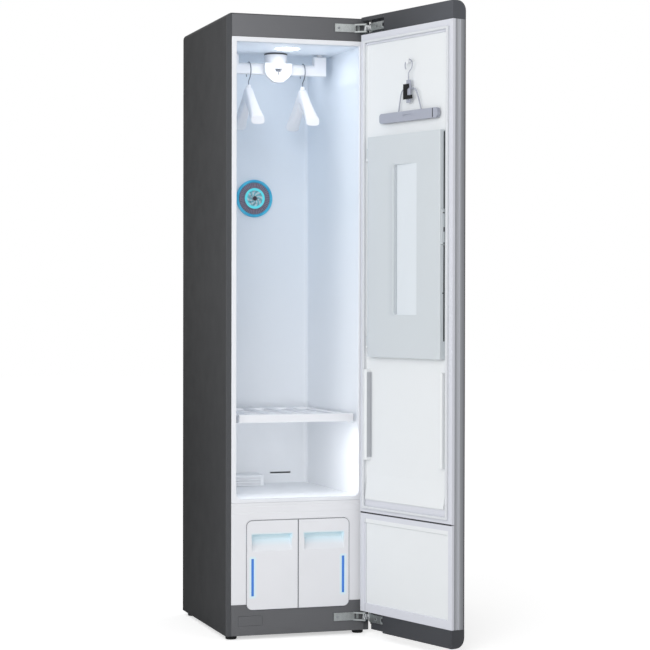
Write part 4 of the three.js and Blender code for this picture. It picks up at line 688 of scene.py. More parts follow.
# For each slot, and for pieces that differ from their slot: what makes the finish, the material's name, its
# colours as codes or names of settings, and its other values
FINISH_TABLE = {
    "grey_steel": (painted_steel, "Grey painted steel", "wrap_colour"),
    "grey_trim": (door_tray, "Grey door tray", "tray_colour"),
    "dark_moulding": (face_moulding, "Dark moulding", "moulding_colour"),
    "dark_cap": (cap_moulding, "Dark end cap", "cap_colour"),
    "lock_black": (rubber, "Black slide lock", "#09090a", 0.8),
    # Dark and light colours of the links' painted reflections
    "link_steel": (link_steel, "Hinge link steel", "#63666b", "#d3d6d8"),
    "black_moulding": (moulding, "Black moulding", "#212225", 0.45),
    "black_steel": (painted_steel, "Black painted steel", "#202123"),
    "white_moulding": (moulding, "White moulding", "white_colour", 0.36, 0.08),
    "tank_white": (moulding, "White tank front", "tank_colour", 0.32, 0.06),
    "liner": (liner_plastic, "Compartment liner", "liner_low", "liner_high"),
    # The last colour serves the thin line and the painted shade beside the rib
    "door_white": (door_lining, "Door lining", "door_colour", "frame_colour", "#8f939b"),
    # The press's own colour, then the painted floor light and the painted shade
    "pale_press": (press_plastic, "Press panel", "press_colour", "#dce2e7", "#9aa1aa"),
    "supply_front": (tank_front, "Supply tank front", "tank_colour",
                     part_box("supply_tank_front"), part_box("supply_level_window")),
    "drain_front": (tank_front, "Drain tank front", "tank_colour",
                    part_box("drain_tank_front"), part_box("drain_level_window")),
    # Painted shade for the gaps round the tank fronts
    "seam": (rubber, "Seam strip", "#74777e"),
    # Painted shade in the notch of the bar's cover
    "shallow_mark": (rubber, "Shallow mark", "#858b95"),
    # Painted shade for gaps, slots and marks on the door, hub, press and clip
    "dark_gap": (rubber, "Dark recess", "#2c2d31"),
    "clear_tank": (tank_plastic, "Clear tank", "#c8dbe8", "#dbe8f1"),
    "blue_lens": (glow, "Blue level window", "window_colour", 0.12),
    "lamp_lens": (glow, "Lamp lens", "#f4f8ff", "lamp_strength"),
    "chrome": (bright_metal, "Chromed hinge", "#c3c8c8", 0.24),
    "steel_bright": (bright_metal, "Screw steel", "#b9bdc1", 0.28),
    "zinc_sheet": (zinc_sheet, "Zinc sheet", "#a7abaf", "#bbbfc3"),
    "fins": (bright_metal, "Fin aluminium", "#d0d3d6", 0.3, 0.2),
    "rubber": (rubber, "Foot rubber", "#1b1c1e"),
    "seal": (rubber, "Door seal", "#d5d8dc", 0.6),
    "glass": (dark_glass, "Dark mirror glass", "#17181b", "#1f2024"),
    "grey_bar": (moulding, "Grey clamp bar", "#a4a8b5", 0.35, 0.1),
    "outlet_ring": (glow, "Outlet ring", "#2f9cc4", 0.15, "#4bb6d6"),
    "hook_wire": (bright_metal, "Hanger hook wire", "#9298a2", 0.3),
    "foam": (foam_cloth, "Press pad cloth", "#bfc3c9", "#c8ccd1"),
}
FINISHES = {}


def chosen(value):
    """Light values of a colour code, the user's setting of a name, or any other value as it stands."""
    if not isinstance(value, str):
        return value
    if value.startswith("#"):
        return shade(value)
    setting = getattr(bpy.context.scene.cabinet_finish, value)
    return setting if isinstance(setting, float) else tuple(setting)


def finish_for(key):
    """The finish of a row of the table, made once."""
    if key not in FINISHES:
        make, name, *values = FINISH_TABLE[key]
        FINISHES[key] = make(name, *[chosen(value) for value in values])
    return FINISHES[key]


# Mesh helpers


def close_up(mesh):
    """Merges doubles and turns every face outwards."""
    bmesh.ops.remove_doubles(mesh, verts=mesh.verts, dist=WELD)
    bmesh.ops.recalc_face_normals(mesh, faces=mesh.faces)


def add_piece(name, mesh, finish, body, slot, stands_for=(), sharp=35):
    """Puts a finished mesh in the scene on its body."""
    data = bpy.data.meshes.new(name)
    mesh.to_mesh(data)
    mesh.free()
    data.shade_smooth()
    data.set_sharp_from_angle(angle=math.radians(sharp))
    piece = bpy.data.objects.new(name, data)
    bpy.context.scene.collection.objects.link(piece)
    data.materials.append(finish)
    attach(piece, body)
    if stands_for:
        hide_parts(*stands_for)
    return piece


def body_of(node):
    """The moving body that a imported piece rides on."""
    for body, members in frame["record"]["behaviour"]["bodies"].items():
        if node in members:
            return body
    raise RuntimeError(node + " rides on no body")


def slot_of(node):
    """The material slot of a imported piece."""
    for piece in frame["record"]["subparts"]:
        if piece["node"] == node:
            return piece["material_slot"]
    raise RuntimeError(node + " has no slot")


def shown_area(mesh):
    """Area of a mesh as it is drawn, triangle by triangle."""
    total = 0
    for corners in mesh.calc_loop_triangles():
        first, second, third = (corner.vert.co for corner in corners)
        total += (second - first).cross(third - first).length / 2
    return total


def packed_copy(node):
    """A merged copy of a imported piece, its flat faces joined where a joined face draws true."""
    mesh = bmesh.new()
    mesh.from_mesh(frame["nodes"][node].data)
    bmesh.ops.remove_doubles(mesh, verts=mesh.verts, dist=PACKED_WELD)
    flat = mesh.copy()
    bmesh.ops.dissolve_limit(flat, angle_limit=math.radians(0.5), verts=flat.verts, edges=flat.edges)
    whole = shown_area(mesh)
    good, bad = (flat, mesh) if abs(shown_area(flat) - whole) < 0.001 * whole else (mesh, flat)
    bad.free()
    return good


def door_bounds(node):
    """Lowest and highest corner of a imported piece, in millimetres on the shut door."""
    local = door_space().inverted()
    spots = [local @ vert.co for vert in frame["nodes"][node].data.vertices]
    return [Vector([pick(spot[axis] for spot in spots) for axis in range(3)]) for pick in (min, max)]


def eased(mesh, node, width, finish=None, segments=2):
    """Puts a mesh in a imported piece's place, with its edges eased by a width in millimetres."""
    slot = slot_of(node)
    crowded = [face for face in mesh.faces if len(face.verts) > MOST_CORNERS]
    bmesh.ops.triangulate(mesh, faces=crowded)
    piece = add_piece(node + "_eased", mesh, finish_for(finish or slot), body_of(node), slot, [node])
    edges = piece.modifiers.new("Eased edges", "BEVEL")
    edges.width = width * MM
    edges.segments = segments
    edges.limit_method = "ANGLE"
    edges.angle_limit = math.radians(EASED_ANGLE)
    edges.miter_outer = "MITER_ARC"
    even = piece.modifiers.new("Even shading", "WEIGHTED_NORMAL")
    even.keep_sharp = True


def softened(node, width, finish=None, segments=2):
    """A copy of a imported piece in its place, with its edges eased."""
    eased(packed_copy(node), node, width, finish, segments)


def extra(name, mesh, finish, node):
    """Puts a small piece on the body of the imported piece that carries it."""
    close_up(mesh)
    add_piece(name, mesh, finish_for(finish), body_of(node), slot_of(node))


def stand_in(name, mesh, finish, node, sharp=35):
    """Puts a new piece in the place of a packed one."""
    close_up(mesh)
    return add_piece(name, mesh, finish_for(finish), body_of(node), slot_of(node), [node], sharp)


def repaint(node, finish=None):
    """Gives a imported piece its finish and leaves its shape."""
    piece = frame["nodes"][node]
    piece.data.materials.clear()
    piece.data.materials.append(finish_for(finish or slot_of(node)))


def stretched(profile, across_size, up_size):
    """A profile in real sizes, from shares of two sizes."""
    return [(first * across_size, second * up_size) for first, second in profile]


def turned(profile, steps, space):
    """A new mesh, spun from a profile of (radius, height) about the space's own Z axis."""
    mesh = bmesh.new()
    verts = [mesh.verts.new((radius, 0, height)) for radius, height in profile]
    edges = [mesh.edges.new(pair) for pair in zip(verts, verts[1:])]
    bmesh.ops.spin(mesh, geom=verts + edges, cent=(0, 0, 0), axis=(0, 0, 1), angle=FULL_TURN,
                   steps=steps, use_merge=True, use_duplicate=False)
    bmesh.ops.transform(mesh, matrix=space, verts=mesh.verts)
    return mesh


def ring_section(mesh, middle, across_half, up_half):
    """One softly squared section standing across the Y axis."""
    verts = bmesh.ops.create_circle(mesh, cap_ends=False, radius=1, segments=OVAL_SIDES)["verts"]
    for vert in verts:
        over, up = (math.copysign(abs(part) ** OVAL_POWER, part) for part in vert.co.xy)
        vert.co = middle[0] + over * across_half, middle[1], middle[2] + up * up_half
    return [edge for edge in mesh.edges if edge.verts[0] in verts and edge.verts[1] in verts]


def lofted(mesh, sections):
    """Bridges a row of oval sections and closes both ends."""
    rings = [ring_section(mesh, *section) for section in sections]
    for first, second in zip(rings, rings[1:]):
        bmesh.ops.bridge_loops(mesh, edges=first + second)
    for end in (rings[0], rings[-1]):
        bmesh.ops.edgeloop_fill(mesh, edges=end)


def gap_shade_strip(mesh, low, high, corners, radius, width):
    """A thin strip of painted gap shade round the front of an upright plate, with some of its corners
    rounded.
    """
    left, right = low[0] + SEAM_INSET, high[0] - SEAM_INSET
    foot, top = low[2] + SEAM_INSET, high[2] - SEAM_INSET
    verts = [mesh.verts.new((x, low[1] + SEAM_SINK, z))
             for x, z in ((left, foot), (right, foot), (right, top), (left, top))]
    mesh.faces.new(verts)
    bmesh.ops.bevel(mesh, geom=[verts[corner] for corner in corners], offset=radius, offset_type="OFFSET",
                    affect="VERTICES", segments=8, profile=0.5, material=-1)
    face = max(mesh.faces, key=lambda each: each.calc_area())
    strip = bmesh.ops.inset_region(mesh, faces=[face], thickness=width, use_boundary=True,
                                   use_even_offset=True)["faces"]
    bmesh.ops.delete(mesh, geom=[face], context="FACES_ONLY")
    grown = bmesh.ops.extrude_face_region(mesh, geom=strip)["geom"]
    moved = [each for each in grown if isinstance(each, bmesh.types.BMVert)]
    bmesh.ops.translate(mesh, verts=moved, vec=(0, -SEAM_SHEET, 0))


def rounded_block(mesh, low, high, radius, space, segments=1):
    """A box between two corners with all of its edges rounded."""
    size = [b - a for a, b in zip(low, high)]
    middle = [(a + b) / 2 for a, b in zip(low, high)]
    matrix = Matrix.Translation(middle) @ Matrix.Diagonal((*size, 1))
    made = bmesh.ops.create_cube(mesh, size=1, matrix=matrix)
    edges = {edge for vert in made["verts"] for edge in vert.link_edges}
    verts = set(made["verts"])
    if radius:
        result = bmesh.ops.bevel(mesh, geom=list(edges), offset=radius, offset_type="OFFSET", affect="EDGES",
                                 segments=segments, profile=0.5, material=-1, clamp_overlap=True)
        verts = {vert for vert in verts if vert.is_valid} | set(result["verts"])
    bmesh.ops.transform(mesh, matrix=space, verts=list(verts))


def extra_block(name, low, high, radius, space, finish, node, segments=1):
    """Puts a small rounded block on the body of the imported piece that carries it."""
    mesh = bmesh.new()
    rounded_block(mesh, low, high, radius, space, segments)
    extra(name, mesh, finish, node)


# Settings that a user would change


def number_setting(name, description, low, high, default, kind="NONE"):
    """A number that the user sets."""
    return bpy.props.FloatProperty(
        name=name, description=description, min=low, max=high, default=default, subtype=kind)


def colour_setting(name, description, code):
    """A colour that the user picks."""
    return bpy.props.FloatVectorProperty(
        name=name, description=description, subtype="COLOR", size=3, min=0, max=1, default=shade(code))


def power_setting(name, description, watts):
    """A lamp's power."""
    return bpy.props.FloatProperty(name=name, description=description, unit="POWER", min=0, default=watts)


class CabinetFinish(bpy.types.PropertyGroup):
    """Colours and sheen of the cabinet."""

    wrap_colour: colour_setting("Wrap", "Paint on the side panels and top", "#3b3c3e")
    tray_colour: colour_setting("Door tray", "Finish on the door's outer tray", "#95979c")
    moulding_colour: colour_setting("Header and kick panel", "Dark mouldings on the face", "#5f6063")
    cap_colour: colour_setting("Door caps", "Mouldings at the door's ends", "#36383d")
    white_colour: colour_setting("White mouldings", "Trim, bar, hangers and shelf", "#eceef3")
    tank_colour: colour_setting("Tank fronts", "Front plates of the water tanks", "#e9eaee")
    liner_low: colour_setting("Liner low", "Compartment plastic near the floor", "#eceff3")
    # The liner's colour near the ceiling holds painted cool lamp light
    liner_high: colour_setting("Liner high", "Compartment plastic near the ceiling", "#dde6f0")
    door_colour: colour_setting("Door lining", "White lining of the door", "#e5e8ea")
    frame_colour: colour_setting("Lining frame", "Frame round the door's lining", "#d5d7df")
    press_colour: colour_setting("Press panel", "Pale grey trouser press", "#ccd2d6")
    window_colour: colour_setting("Level windows", "Lit windows in the tank fronts", "#3f78cc")
    paint_roughness: number_setting("Paint roughness", "Sheen of the painted steel", 0, 1, 0.42, "FACTOR")
    paint_specular: number_setting(
        "Paint specular", "Strength of the paint's reflection", 0, 1, 0.02, "FACTOR")
    # Strength of the painted highlight on the wrap's folded front edges
    painted_edge_highlight: number_setting("Edge shine", "Lightness of the wrap's folded front edges", 0, 6, 2.6)
    lamp_strength: number_setting("Lamp strength", "Light from the ceiling lamp's lens", 0, 50, 3.0)


class CabinetSizes(bpy.types.PropertyGroup):
    """Small sizes of the added pieces, in millimetres."""

    sheet_edge: number_setting("Sheet edge", "Rounding of folded sheet, in mm", 0.1, 3, 0.8)
    moulded_edge: number_setting("Moulded edge", "Rounding of plastic mouldings, in mm", 0.1, 4, 1.2)
    # Width of the strips of painted gap shade round the tank fronts
    seam_shade_width: number_setting("Seam width", "Width of the strips round the tank fronts, in mm", 0.3, 4, 1.2)
    tank_corner: number_setting("Tank front corner", "Corner radius of the tank fronts, in mm", 1, 40, 17)


class CabinetOperator:
    """Base of the cabinet's operators."""

    bl_options = {"REGISTER", "UNDO"}


class CABINET_OT_wrap(CabinetOperator, bpy.types.Operator):
    """Dress the side panels, top, back and base"""

    bl_idname = "cabinet.wrap"
    bl_label = "Wrap"

    def execute(self, context):
        for node in ("side_panel_left", "side_panel_right", "top_cover", "back_panel"):
            softened(node, context.scene.cabinet_sizes.sheet_edge)
        repaint("base_pan")
        return {"FINISHED"}


class CABINET_OT_face(CabinetOperator, bpy.types.Operator):
    """Dress the header, trim, lower panel, kick panel and feet"""

    bl_idname = "cabinet.face"
    bl_label = "Face"

    def execute(self, context):
        sizes = context.scene.cabinet_sizes
        for node in ("front_header", "kick_panel", "service_cover"):
            softened(node, sizes.sheet_edge)
        softened("front_trim", sizes.moulded_edge)
        softened("lower_front_panel", sizes.sheet_edge, "tank_white")
        for foot in ("front_foot_left", "front_foot_right", "rear_foot_left", "rear_foot_right"):
            softened(foot, sizes.moulded_edge)
        return {"FINISHED"}


class CABINET_OT_compartment(CabinetOperator, bpy.types.Operator):
    """Dress the liner, shelf, air intake and ceiling lamp"""

    bl_idname = "cabinet.compartment"
    bl_label = "Compartment"

    def execute(self, context):
        edge = context.scene.cabinet_sizes.moulded_edge
        repaint("inner_liner", "liner")
        softened("shelf", edge)
        softened("intake_grille", edge, "liner")
        low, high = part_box("intake_grille")
        front = low[1] + INTAKE_WALL
        extra_block("intake_filter", (low[0] + INTAKE_SIDE, front, low[2] + INTAKE_END),
                    (high[0] - INTAKE_SIDE, front + INTAKE_SHEET, high[2] - INTAKE_END),
                    0, PACKED_SPACE, "white_moulding", "intake_grille")
        width, _, height = box_size("ceiling_lamp")
        x, y, _ = box_middle("ceiling_lamp")
        under = Matrix.Translation((x, y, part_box("ceiling_lamp")[0][2]))
        mesh = turned(stretched(LENS_PROFILE, width / 2, height), 64, under)
        stand_in("ceiling_lamp_lens", mesh, "lamp_lens", "ceiling_lamp")
        return {"FINISHED"}


class CABINET_OT_air_outlet(CabinetOperator, bpy.types.Operator):
    """Build the round air outlet on the rear wall"""

    bl_idname = "cabinet.air_outlet"
    bl_label = "Air outlet"

    facets: bpy.props.IntProperty(
        name="Facets", description="Facets round the outlet", min=24, max=256, default=96)

    def execute(self, context):
        x, _, z = box_middle("outlet_light_ring")
        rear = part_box("outlet_light_ring")[1][1]
        facing = Matrix.Translation((x, rear, z)) @ Matrix.Rotation(QUARTER_TURN, 4, "X")
        self.lit_ring(facing)
        self.face(facing, outlet_rings("Outlet face", x, z))
        return {"FINISHED"}

    def lit_ring(self, facing):
        """A domed ring of light guide."""
        width, depth, _ = box_size("outlet_light_ring")
        profile = [(width / 2 - inward, height)
                   for inward, height in stretched(RING_PROFILE, RING_WIDTH, depth)]
        mesh = turned(profile, self.facets, facing)
        stand_in("outlet_ring_lens", mesh, "outlet_ring", "outlet_light_ring")

    def face(self, facing, finish):
        """A turned face with a hub, an inner ring and ribs out to the rim."""
        width, depth, _ = box_size("outlet_grille")
        rim = width / 2
        profile = stretched(OUTLET_PROFILE, MM, depth)
        profile += [(rim - 1 * MM, depth * 0.5), (rim, depth * 0.4), (rim, 0), (0, 0)]
        mesh = turned(profile, self.facets, facing)
        close_up(mesh)
        half, edge = 0.7 * MM, 0.4 * MM
        for rib in range(OUTLET_RIBS):
            turn = Matrix.Rotation(rib * FULL_TURN / OUTLET_RIBS, 4, "Z")
            rounded_block(mesh, (RIB_ROOT, -half, depth * 0.3), (rim - 1.2 * MM, half, depth * 0.62), edge,
                          facing @ turn)
        add_piece("outlet_face", mesh, finish, "cabinet", "black_moulding", ["outlet_grille"])


class CABINET_OT_hanger_bar(CabinetOperator, bpy.types.Operator):
    """Dress the moving hanger bar, its hub and its centre cover"""

    bl_idname = "cabinet.hanger_bar"
    bl_label = "Hanger bar"

    def execute(self, context):
        edge = context.scene.cabinet_sizes.moulded_edge
        softened("hanger_bar", edge)
        softened("bar_hub", edge)
        softened("bar_centre_cover", edge * 1.6, segments=4)
        self.notch()
        self.ring()
        return {"FINISHED"}

    def notch(self):
        """The shallow notch in the front of the heart-shaped cover, darkened by a block of painted shade."""
        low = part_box("bar_centre_cover")[0]
        middle, height = box_middle("bar_centre_cover")[0], box_size("bar_centre_cover")[2]
        corners = [(middle + side * NOTCH_HALF, low[1] + depth, low[2] + height * share)
                   for side, depth, share in zip((-1, 1), NOTCH_DEPTHS, NOTCH_HEIGHTS)]
        extra_block("cover_notch", *corners, 0.4 * MM, PACKED_SPACE, "shallow_mark", "bar_centre_cover", 2)

    def ring(self):
        """A dark ring of painted shade in the gap just under the hub's top."""
        radius = box_size("bar_hub")[0] / 2
        profile = [(radius + out, height) for out, height in stretched(HUB_RING_PROFILE, MM, MM)]
        top = Matrix.Translation((box_middle("bar_centre_cover")[0], box_middle("bar_hub")[1],
                                  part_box("bar_hub")[1][2]))
        extra("hub_ring", turned(profile, 64, top), "dark_gap", "bar_hub")


class CABINET_OT_garment_hangers(CabinetOperator, bpy.types.Operator):
    """Build the two garment hangers and dress their wire hooks"""

    bl_idname = "cabinet.garment_hangers"
    bl_label = "Garment hangers"

    def execute(self, context):
        for side in ("left", "right"):
            node = "garment_hanger_" + side
            self.arms(node)
            x, y, _ = box_middle(node)
            top = Matrix.Translation((x, y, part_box(node)[1][2]))
            extra(node + "_neck", turned(stretched(NECK_PROFILE, MM, MM), 24, top), "white_moulding", node)
            softened("hanger_hook_" + side, width=0.1, finish="hook_wire")
        return {"FINISHED"}

    def stations(self):
        """Sections of an arm: place out, place down, half width and half height, as shares of its size.

        Its upper edge falls in a straight line, its lower edge in a curve, and it widens towards the tip.
        """
        rows = []
        for out in HANGER_STATIONS:
            top = 0.02 + 0.77 * out
            bottom = 0.4 + 0.6 * out ** 0.8
            half_width = 0.62 + 0.34 * out ** 2.4
            rows.append((out, (top + bottom) / 2, half_width, (bottom - top) / 2))
        return rows + [HANGER_TIP]

    def arms(self, node):
        """Both arms as one smooth form, from the front tip to the rear one."""
        x, y, _ = box_middle(node)
        width, length, drop = box_size(node)
        half_width, reach, top = width / 2, length / 2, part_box(node)[1][2]
        front, rear = (
            [((x, y + end * out * reach, top - down * drop), wide * half_width, tall * drop)
             for out, down, wide, tall in self.stations()]
            for end in (1, -1))
        mesh = bmesh.new()
        lofted(mesh, front[::-1] + rear[1:])
        piece = stand_in(node + "_body", mesh, "white_moulding", node, 60)
        smooth = piece.modifiers.new("Smooth form", "SUBSURF")
        smooth.levels = smooth.render_levels = 2


class CABINET_OT_tanks(CabinetOperator, bpy.types.Operator):
    """Dress the water tanks, their fronts, level windows and the painted light of their grips"""

    bl_idname = "cabinet.tanks"
    bl_label = "Water tanks"

    def execute(self, context):
        sizes = context.scene.cabinet_sizes
        for use, outer_corners in (("supply", (0, 3)), ("drain", (1, 2))):
            softened(use + "_tank", sizes.moulded_edge)
            softened(use + "_tank_front", FINE_EDGE, use + "_front")
            softened(use + "_level_window", FINE_EDGE)
            mesh = bmesh.new()
            # A strip of painted shade in the gap round each tank front
            gap_shade_strip(mesh, *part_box(use + "_tank_front"), outer_corners, sizes.tank_corner * MM,
                      sizes.seam_shade_width * MM)
            extra(use + "_front_rim", mesh, "seam", use + "_tank_front")
        softened("tank_housing", sizes.sheet_edge)
        return {"FINISHED"}


class CABINET_OT_machines(CabinetOperator, bpy.types.Operator):
    """Dress the machines in the base and over the ceiling"""

    bl_idname = "cabinet.machines"
    bl_label = "Machines"

    def execute(self, context):
        for node in ("steam_generator", "compressor", "heat_exchanger", "blower_motor", "blower_fan",
                     "drive_motor", "drive_crank"):
            repaint(node)
        return {"FINISHED"}


class CABINET_OT_hinges(CabinetOperator, bpy.types.Operator):
    """Dress the hinge plates and add pin heads and screws"""

    bl_idname = "cabinet.hinges"
    bl_label = "Hinges"

    def execute(self, context):
        for end in ("top", "bottom"):
            softened("hinge_bracket_" + end, FINE_EDGE)
            softened("hinge_link_" + end, FINE_EDGE, "link_steel")
            softened("door_hinge_plate_" + end, FINE_EDGE)
            middle = box_middle("hinge_bracket_" + end)[2] / MM
            self.screw(end, middle)
            for number, (x, radius) in enumerate(PLATE_HOLES):
                self.ring(f"{end}_plate_ring_{number}", end, (x, DOOR_PLATE_Y + HINGE_SHEET, middle), radius)
            pins = (("cabinet", cabinet_space(), CABINET_PIN), ("door", link_space(), DOOR_PIN))
            for side, space, pin in pins:
                for level, lift in (("low", -1), ("high", 1)):
                    spot = (pin.x, pin.y, middle + lift * PIN_HALF)
                    self.pin_head(f"{end}_{side}_pin_{level}", end, space @ Matrix.Translation(spot), lift)
        return {"FINISHED"}

    def screw(self, end, middle):
        """A pan screw head with a recess, on the bracket."""
        spot = Matrix.Translation((BRACKET_SCREW_X, -HINGE_SHEET - SCREW_LIFT, middle))
        mesh = turned(SCREW_PROFILE, 24, cabinet_space() @ spot @ Matrix.Rotation(QUARTER_TURN, 4, "X"))
        extra(end + "_bracket_screw", mesh, "steel_bright", "hinge_bracket_" + end)

    def ring(self, name, end, spot, radius):
        """A raised bright rim round a hole of the door's plate."""
        rim = min(2.6, radius * 0.5)
        profile = [(radius, -0.2), (radius, 0.9), (radius + rim * 0.5, 1.4), (radius + rim, 0.8),
                   (radius + rim, -0.2), (radius, -0.2)]
        space = door_space() @ Matrix.Translation(spot) @ Matrix.Rotation(-QUARTER_TURN, 4, "X")
        extra(name, turned(profile, 32, space), "chrome", "door_hinge_plate_" + end)

    def pin_head(self, name, end, space, lift):
        """A riveted end of a hinge pin."""
        mesh = turned(PIN_PROFILE, 24, space @ Matrix.Diagonal((1, 1, lift, 1)))
        extra(name, mesh, "steel_bright", "hinge_link_" + end)


class CABINET_OT_door_shell(CabinetOperator, bpy.types.Operator):
    """Dress the door's caps, tray, glass and linings"""

    bl_idname = "cabinet.door_shell"
    bl_label = "Door"

    def execute(self, context):
        edge = context.scene.cabinet_sizes.moulded_edge
        for node in ("door_top_cap", "door_bottom_cap"):
            softened(node, edge, "dark_cap")
        softened("door_skin", width=0.4)
        softened("front_glass", width=0.6)
        for node in ("door_liner_upper", "door_liner_lower"):
            softened(node, edge, "door_white", segments=3)
        # A dark strip of painted shade in the seam between the door's linings
        half = DOOR_HALF - DOOR_SEAM_END
        corners = [(side, proud(lift), height)
                   for side, lift, height in zip((-half, half), DOOR_SEAM_LIFTS, DOOR_SEAM_HEIGHTS)]
        extra_block("door_seam", *corners, 0.2, door_space(), "dark_gap", "door_liner_lower")
        return {"FINISHED"}


class CABINET_OT_door_seal(CabinetOperator, bpy.types.Operator):
    """Dress the door's seal"""

    bl_idname = "cabinet.door_seal"
    bl_label = "Door seal"

    def execute(self, context):
        softened("door_gasket", width=2.0, segments=3)
        return {"FINISHED"}


class CABINET_OT_trouser_press(CabinetOperator, bpy.types.Operator):
    """Dress the trouser press panel and latch, and build its padded bed"""

    bl_idname = "cabinet.trouser_press"
    bl_label = "Trouser press"

    def execute(self, context):
        edge = context.scene.cabinet_sizes.moulded_edge
        self.panel(edge)
        softened("press_latch", edge * 0.6)
        self.marks()
        self.pad()
        return {"FINISHED"}

    def panel(self, edge):
        """The panel, with a large round on the edge between its face and the slope into its recess."""
        mesh = packed_copy("press_panel")
        local = door_space().inverted()
        rim = [each for each in mesh.edges
               if len(each.link_faces) == 2 and each.calc_face_angle() > 0.4
               and all(self.beside_recess(local @ vert.co) for vert in each.verts)]
        bmesh.ops.bevel(mesh, geom=rim, offset=RECESS_ROUND, offset_type="OFFSET", affect="EDGES", segments=4,
                        profile=0.5, material=-1, clamp_overlap=True)
        eased(mesh, "press_panel", edge, segments=3)

    def beside_recess(self, spot):
        """Whether a point of the shut door is on the panel's face, at the recess's hinge side."""
        side, _, low, high = PRESS_WINDOW
        reach, margin = 14, 2
        return (abs(spot.y - proud(PRESS_FACE)) < 0.3
                and across(side + reach) < spot.x < across(side - margin)
                and low - margin < spot.z < high + margin)

    def marks(self):
        """The strip of painted shadow and the dark marks of painted shade on the free side of the panel and
        its latch.
        """
        low, high = door_bounds("press_latch")
        beside = (low.z - LATCH_GAP, high.z + LATCH_GAP)
        strips = (
            ("press_strip_lower", "press_panel", STRIP_LIFTS, (STRIP_HEIGHTS[0], beside[0])),
            ("press_strip_beside", "press_panel", LATCH_STRIP_LIFTS, beside),
            ("press_strip_upper", "press_panel", STRIP_LIFTS, (beside[1], STRIP_HEIGHTS[1])))
        for name, node, lifts, heights in strips + PRESS_MARKS:
            side = door_bounds(node)[0].x
            extra_block(name, (side - MARK_RISE, proud(lifts[0]), heights[0]),
                        (side + MARK_SINK, proud(lifts[1]), heights[1]), 0.2, door_space(), "dark_gap", node)

    def pad(self):
        """A crowned cloth pad whose rim is drawn in, in place of the plain packed block."""
        low, high = door_bounds("press_pad")
        half_width, thick, half_height = (high.x - low.x) / 2, high.y - low.y, (high.z - low.z) / 2
        mesh = bmesh.new()
        bmesh.ops.create_grid(mesh, x_segments=30, y_segments=56, size=0.5)
        for vert in mesh.verts:
            over, up = vert.co.x * 2, vert.co.y * 2
            crown = (1 - over ** 6) * (1 - up ** 10)
            narrowed = 1 - PAD_SIDE_DRAW * (1 - up ** 2) * abs(over) ** 6
            shortened = 1 - PAD_END_DRAW * (1 - over ** 2) * abs(up) ** 8
            vert.co = ((low.x + high.x) / 2 + over * half_width * narrowed,
                       low.y + thick * (PAD_RIM + (1 - PAD_RIM) * crown),
                       (low.z + high.z) / 2 + up * half_height * shortened)
        grown = bmesh.ops.extrude_face_region(mesh, geom=list(mesh.faces))["geom"]
        for vert in grown:
            if isinstance(vert, bmesh.types.BMVert):
                vert.co.y = low.y + thick * PAD_UNDERSIDE
        bmesh.ops.transform(mesh, matrix=door_space(), verts=mesh.verts)
        piece = stand_in("press_pad_cloth", mesh, "foam", "press_pad", 60)


class CABINET_OT_clip_hanger(CabinetOperator, bpy.types.Operator):
    """Dress the clip hanger, its jaw and its lock"""

    bl_idname = "cabinet.clip_hanger"
    bl_label = "Clip hanger"

    def execute(self, context):
        softened("clip_hanger", FINE_EDGE)
        softened("clip_jaw", width=1.0)
        softened("clip_lock", width=2.2, finish="lock_black", segments=4)
        # A line of painted shade on the jaw's face
        low, high = door_bounds("clip_jaw")
        sink, rise = JAW_LINE_LIFTS
        extra_block("clip_jaw_line", (across(JAW_LINE[1]), high.y + sink, low.z + JAW_MARGIN),
                    (across(JAW_LINE[0]), high.y + rise, high.z - JAW_MARGIN), 0.1, door_space(),
                    "dark_gap", "clip_jaw")
        return {"FINISHED"}


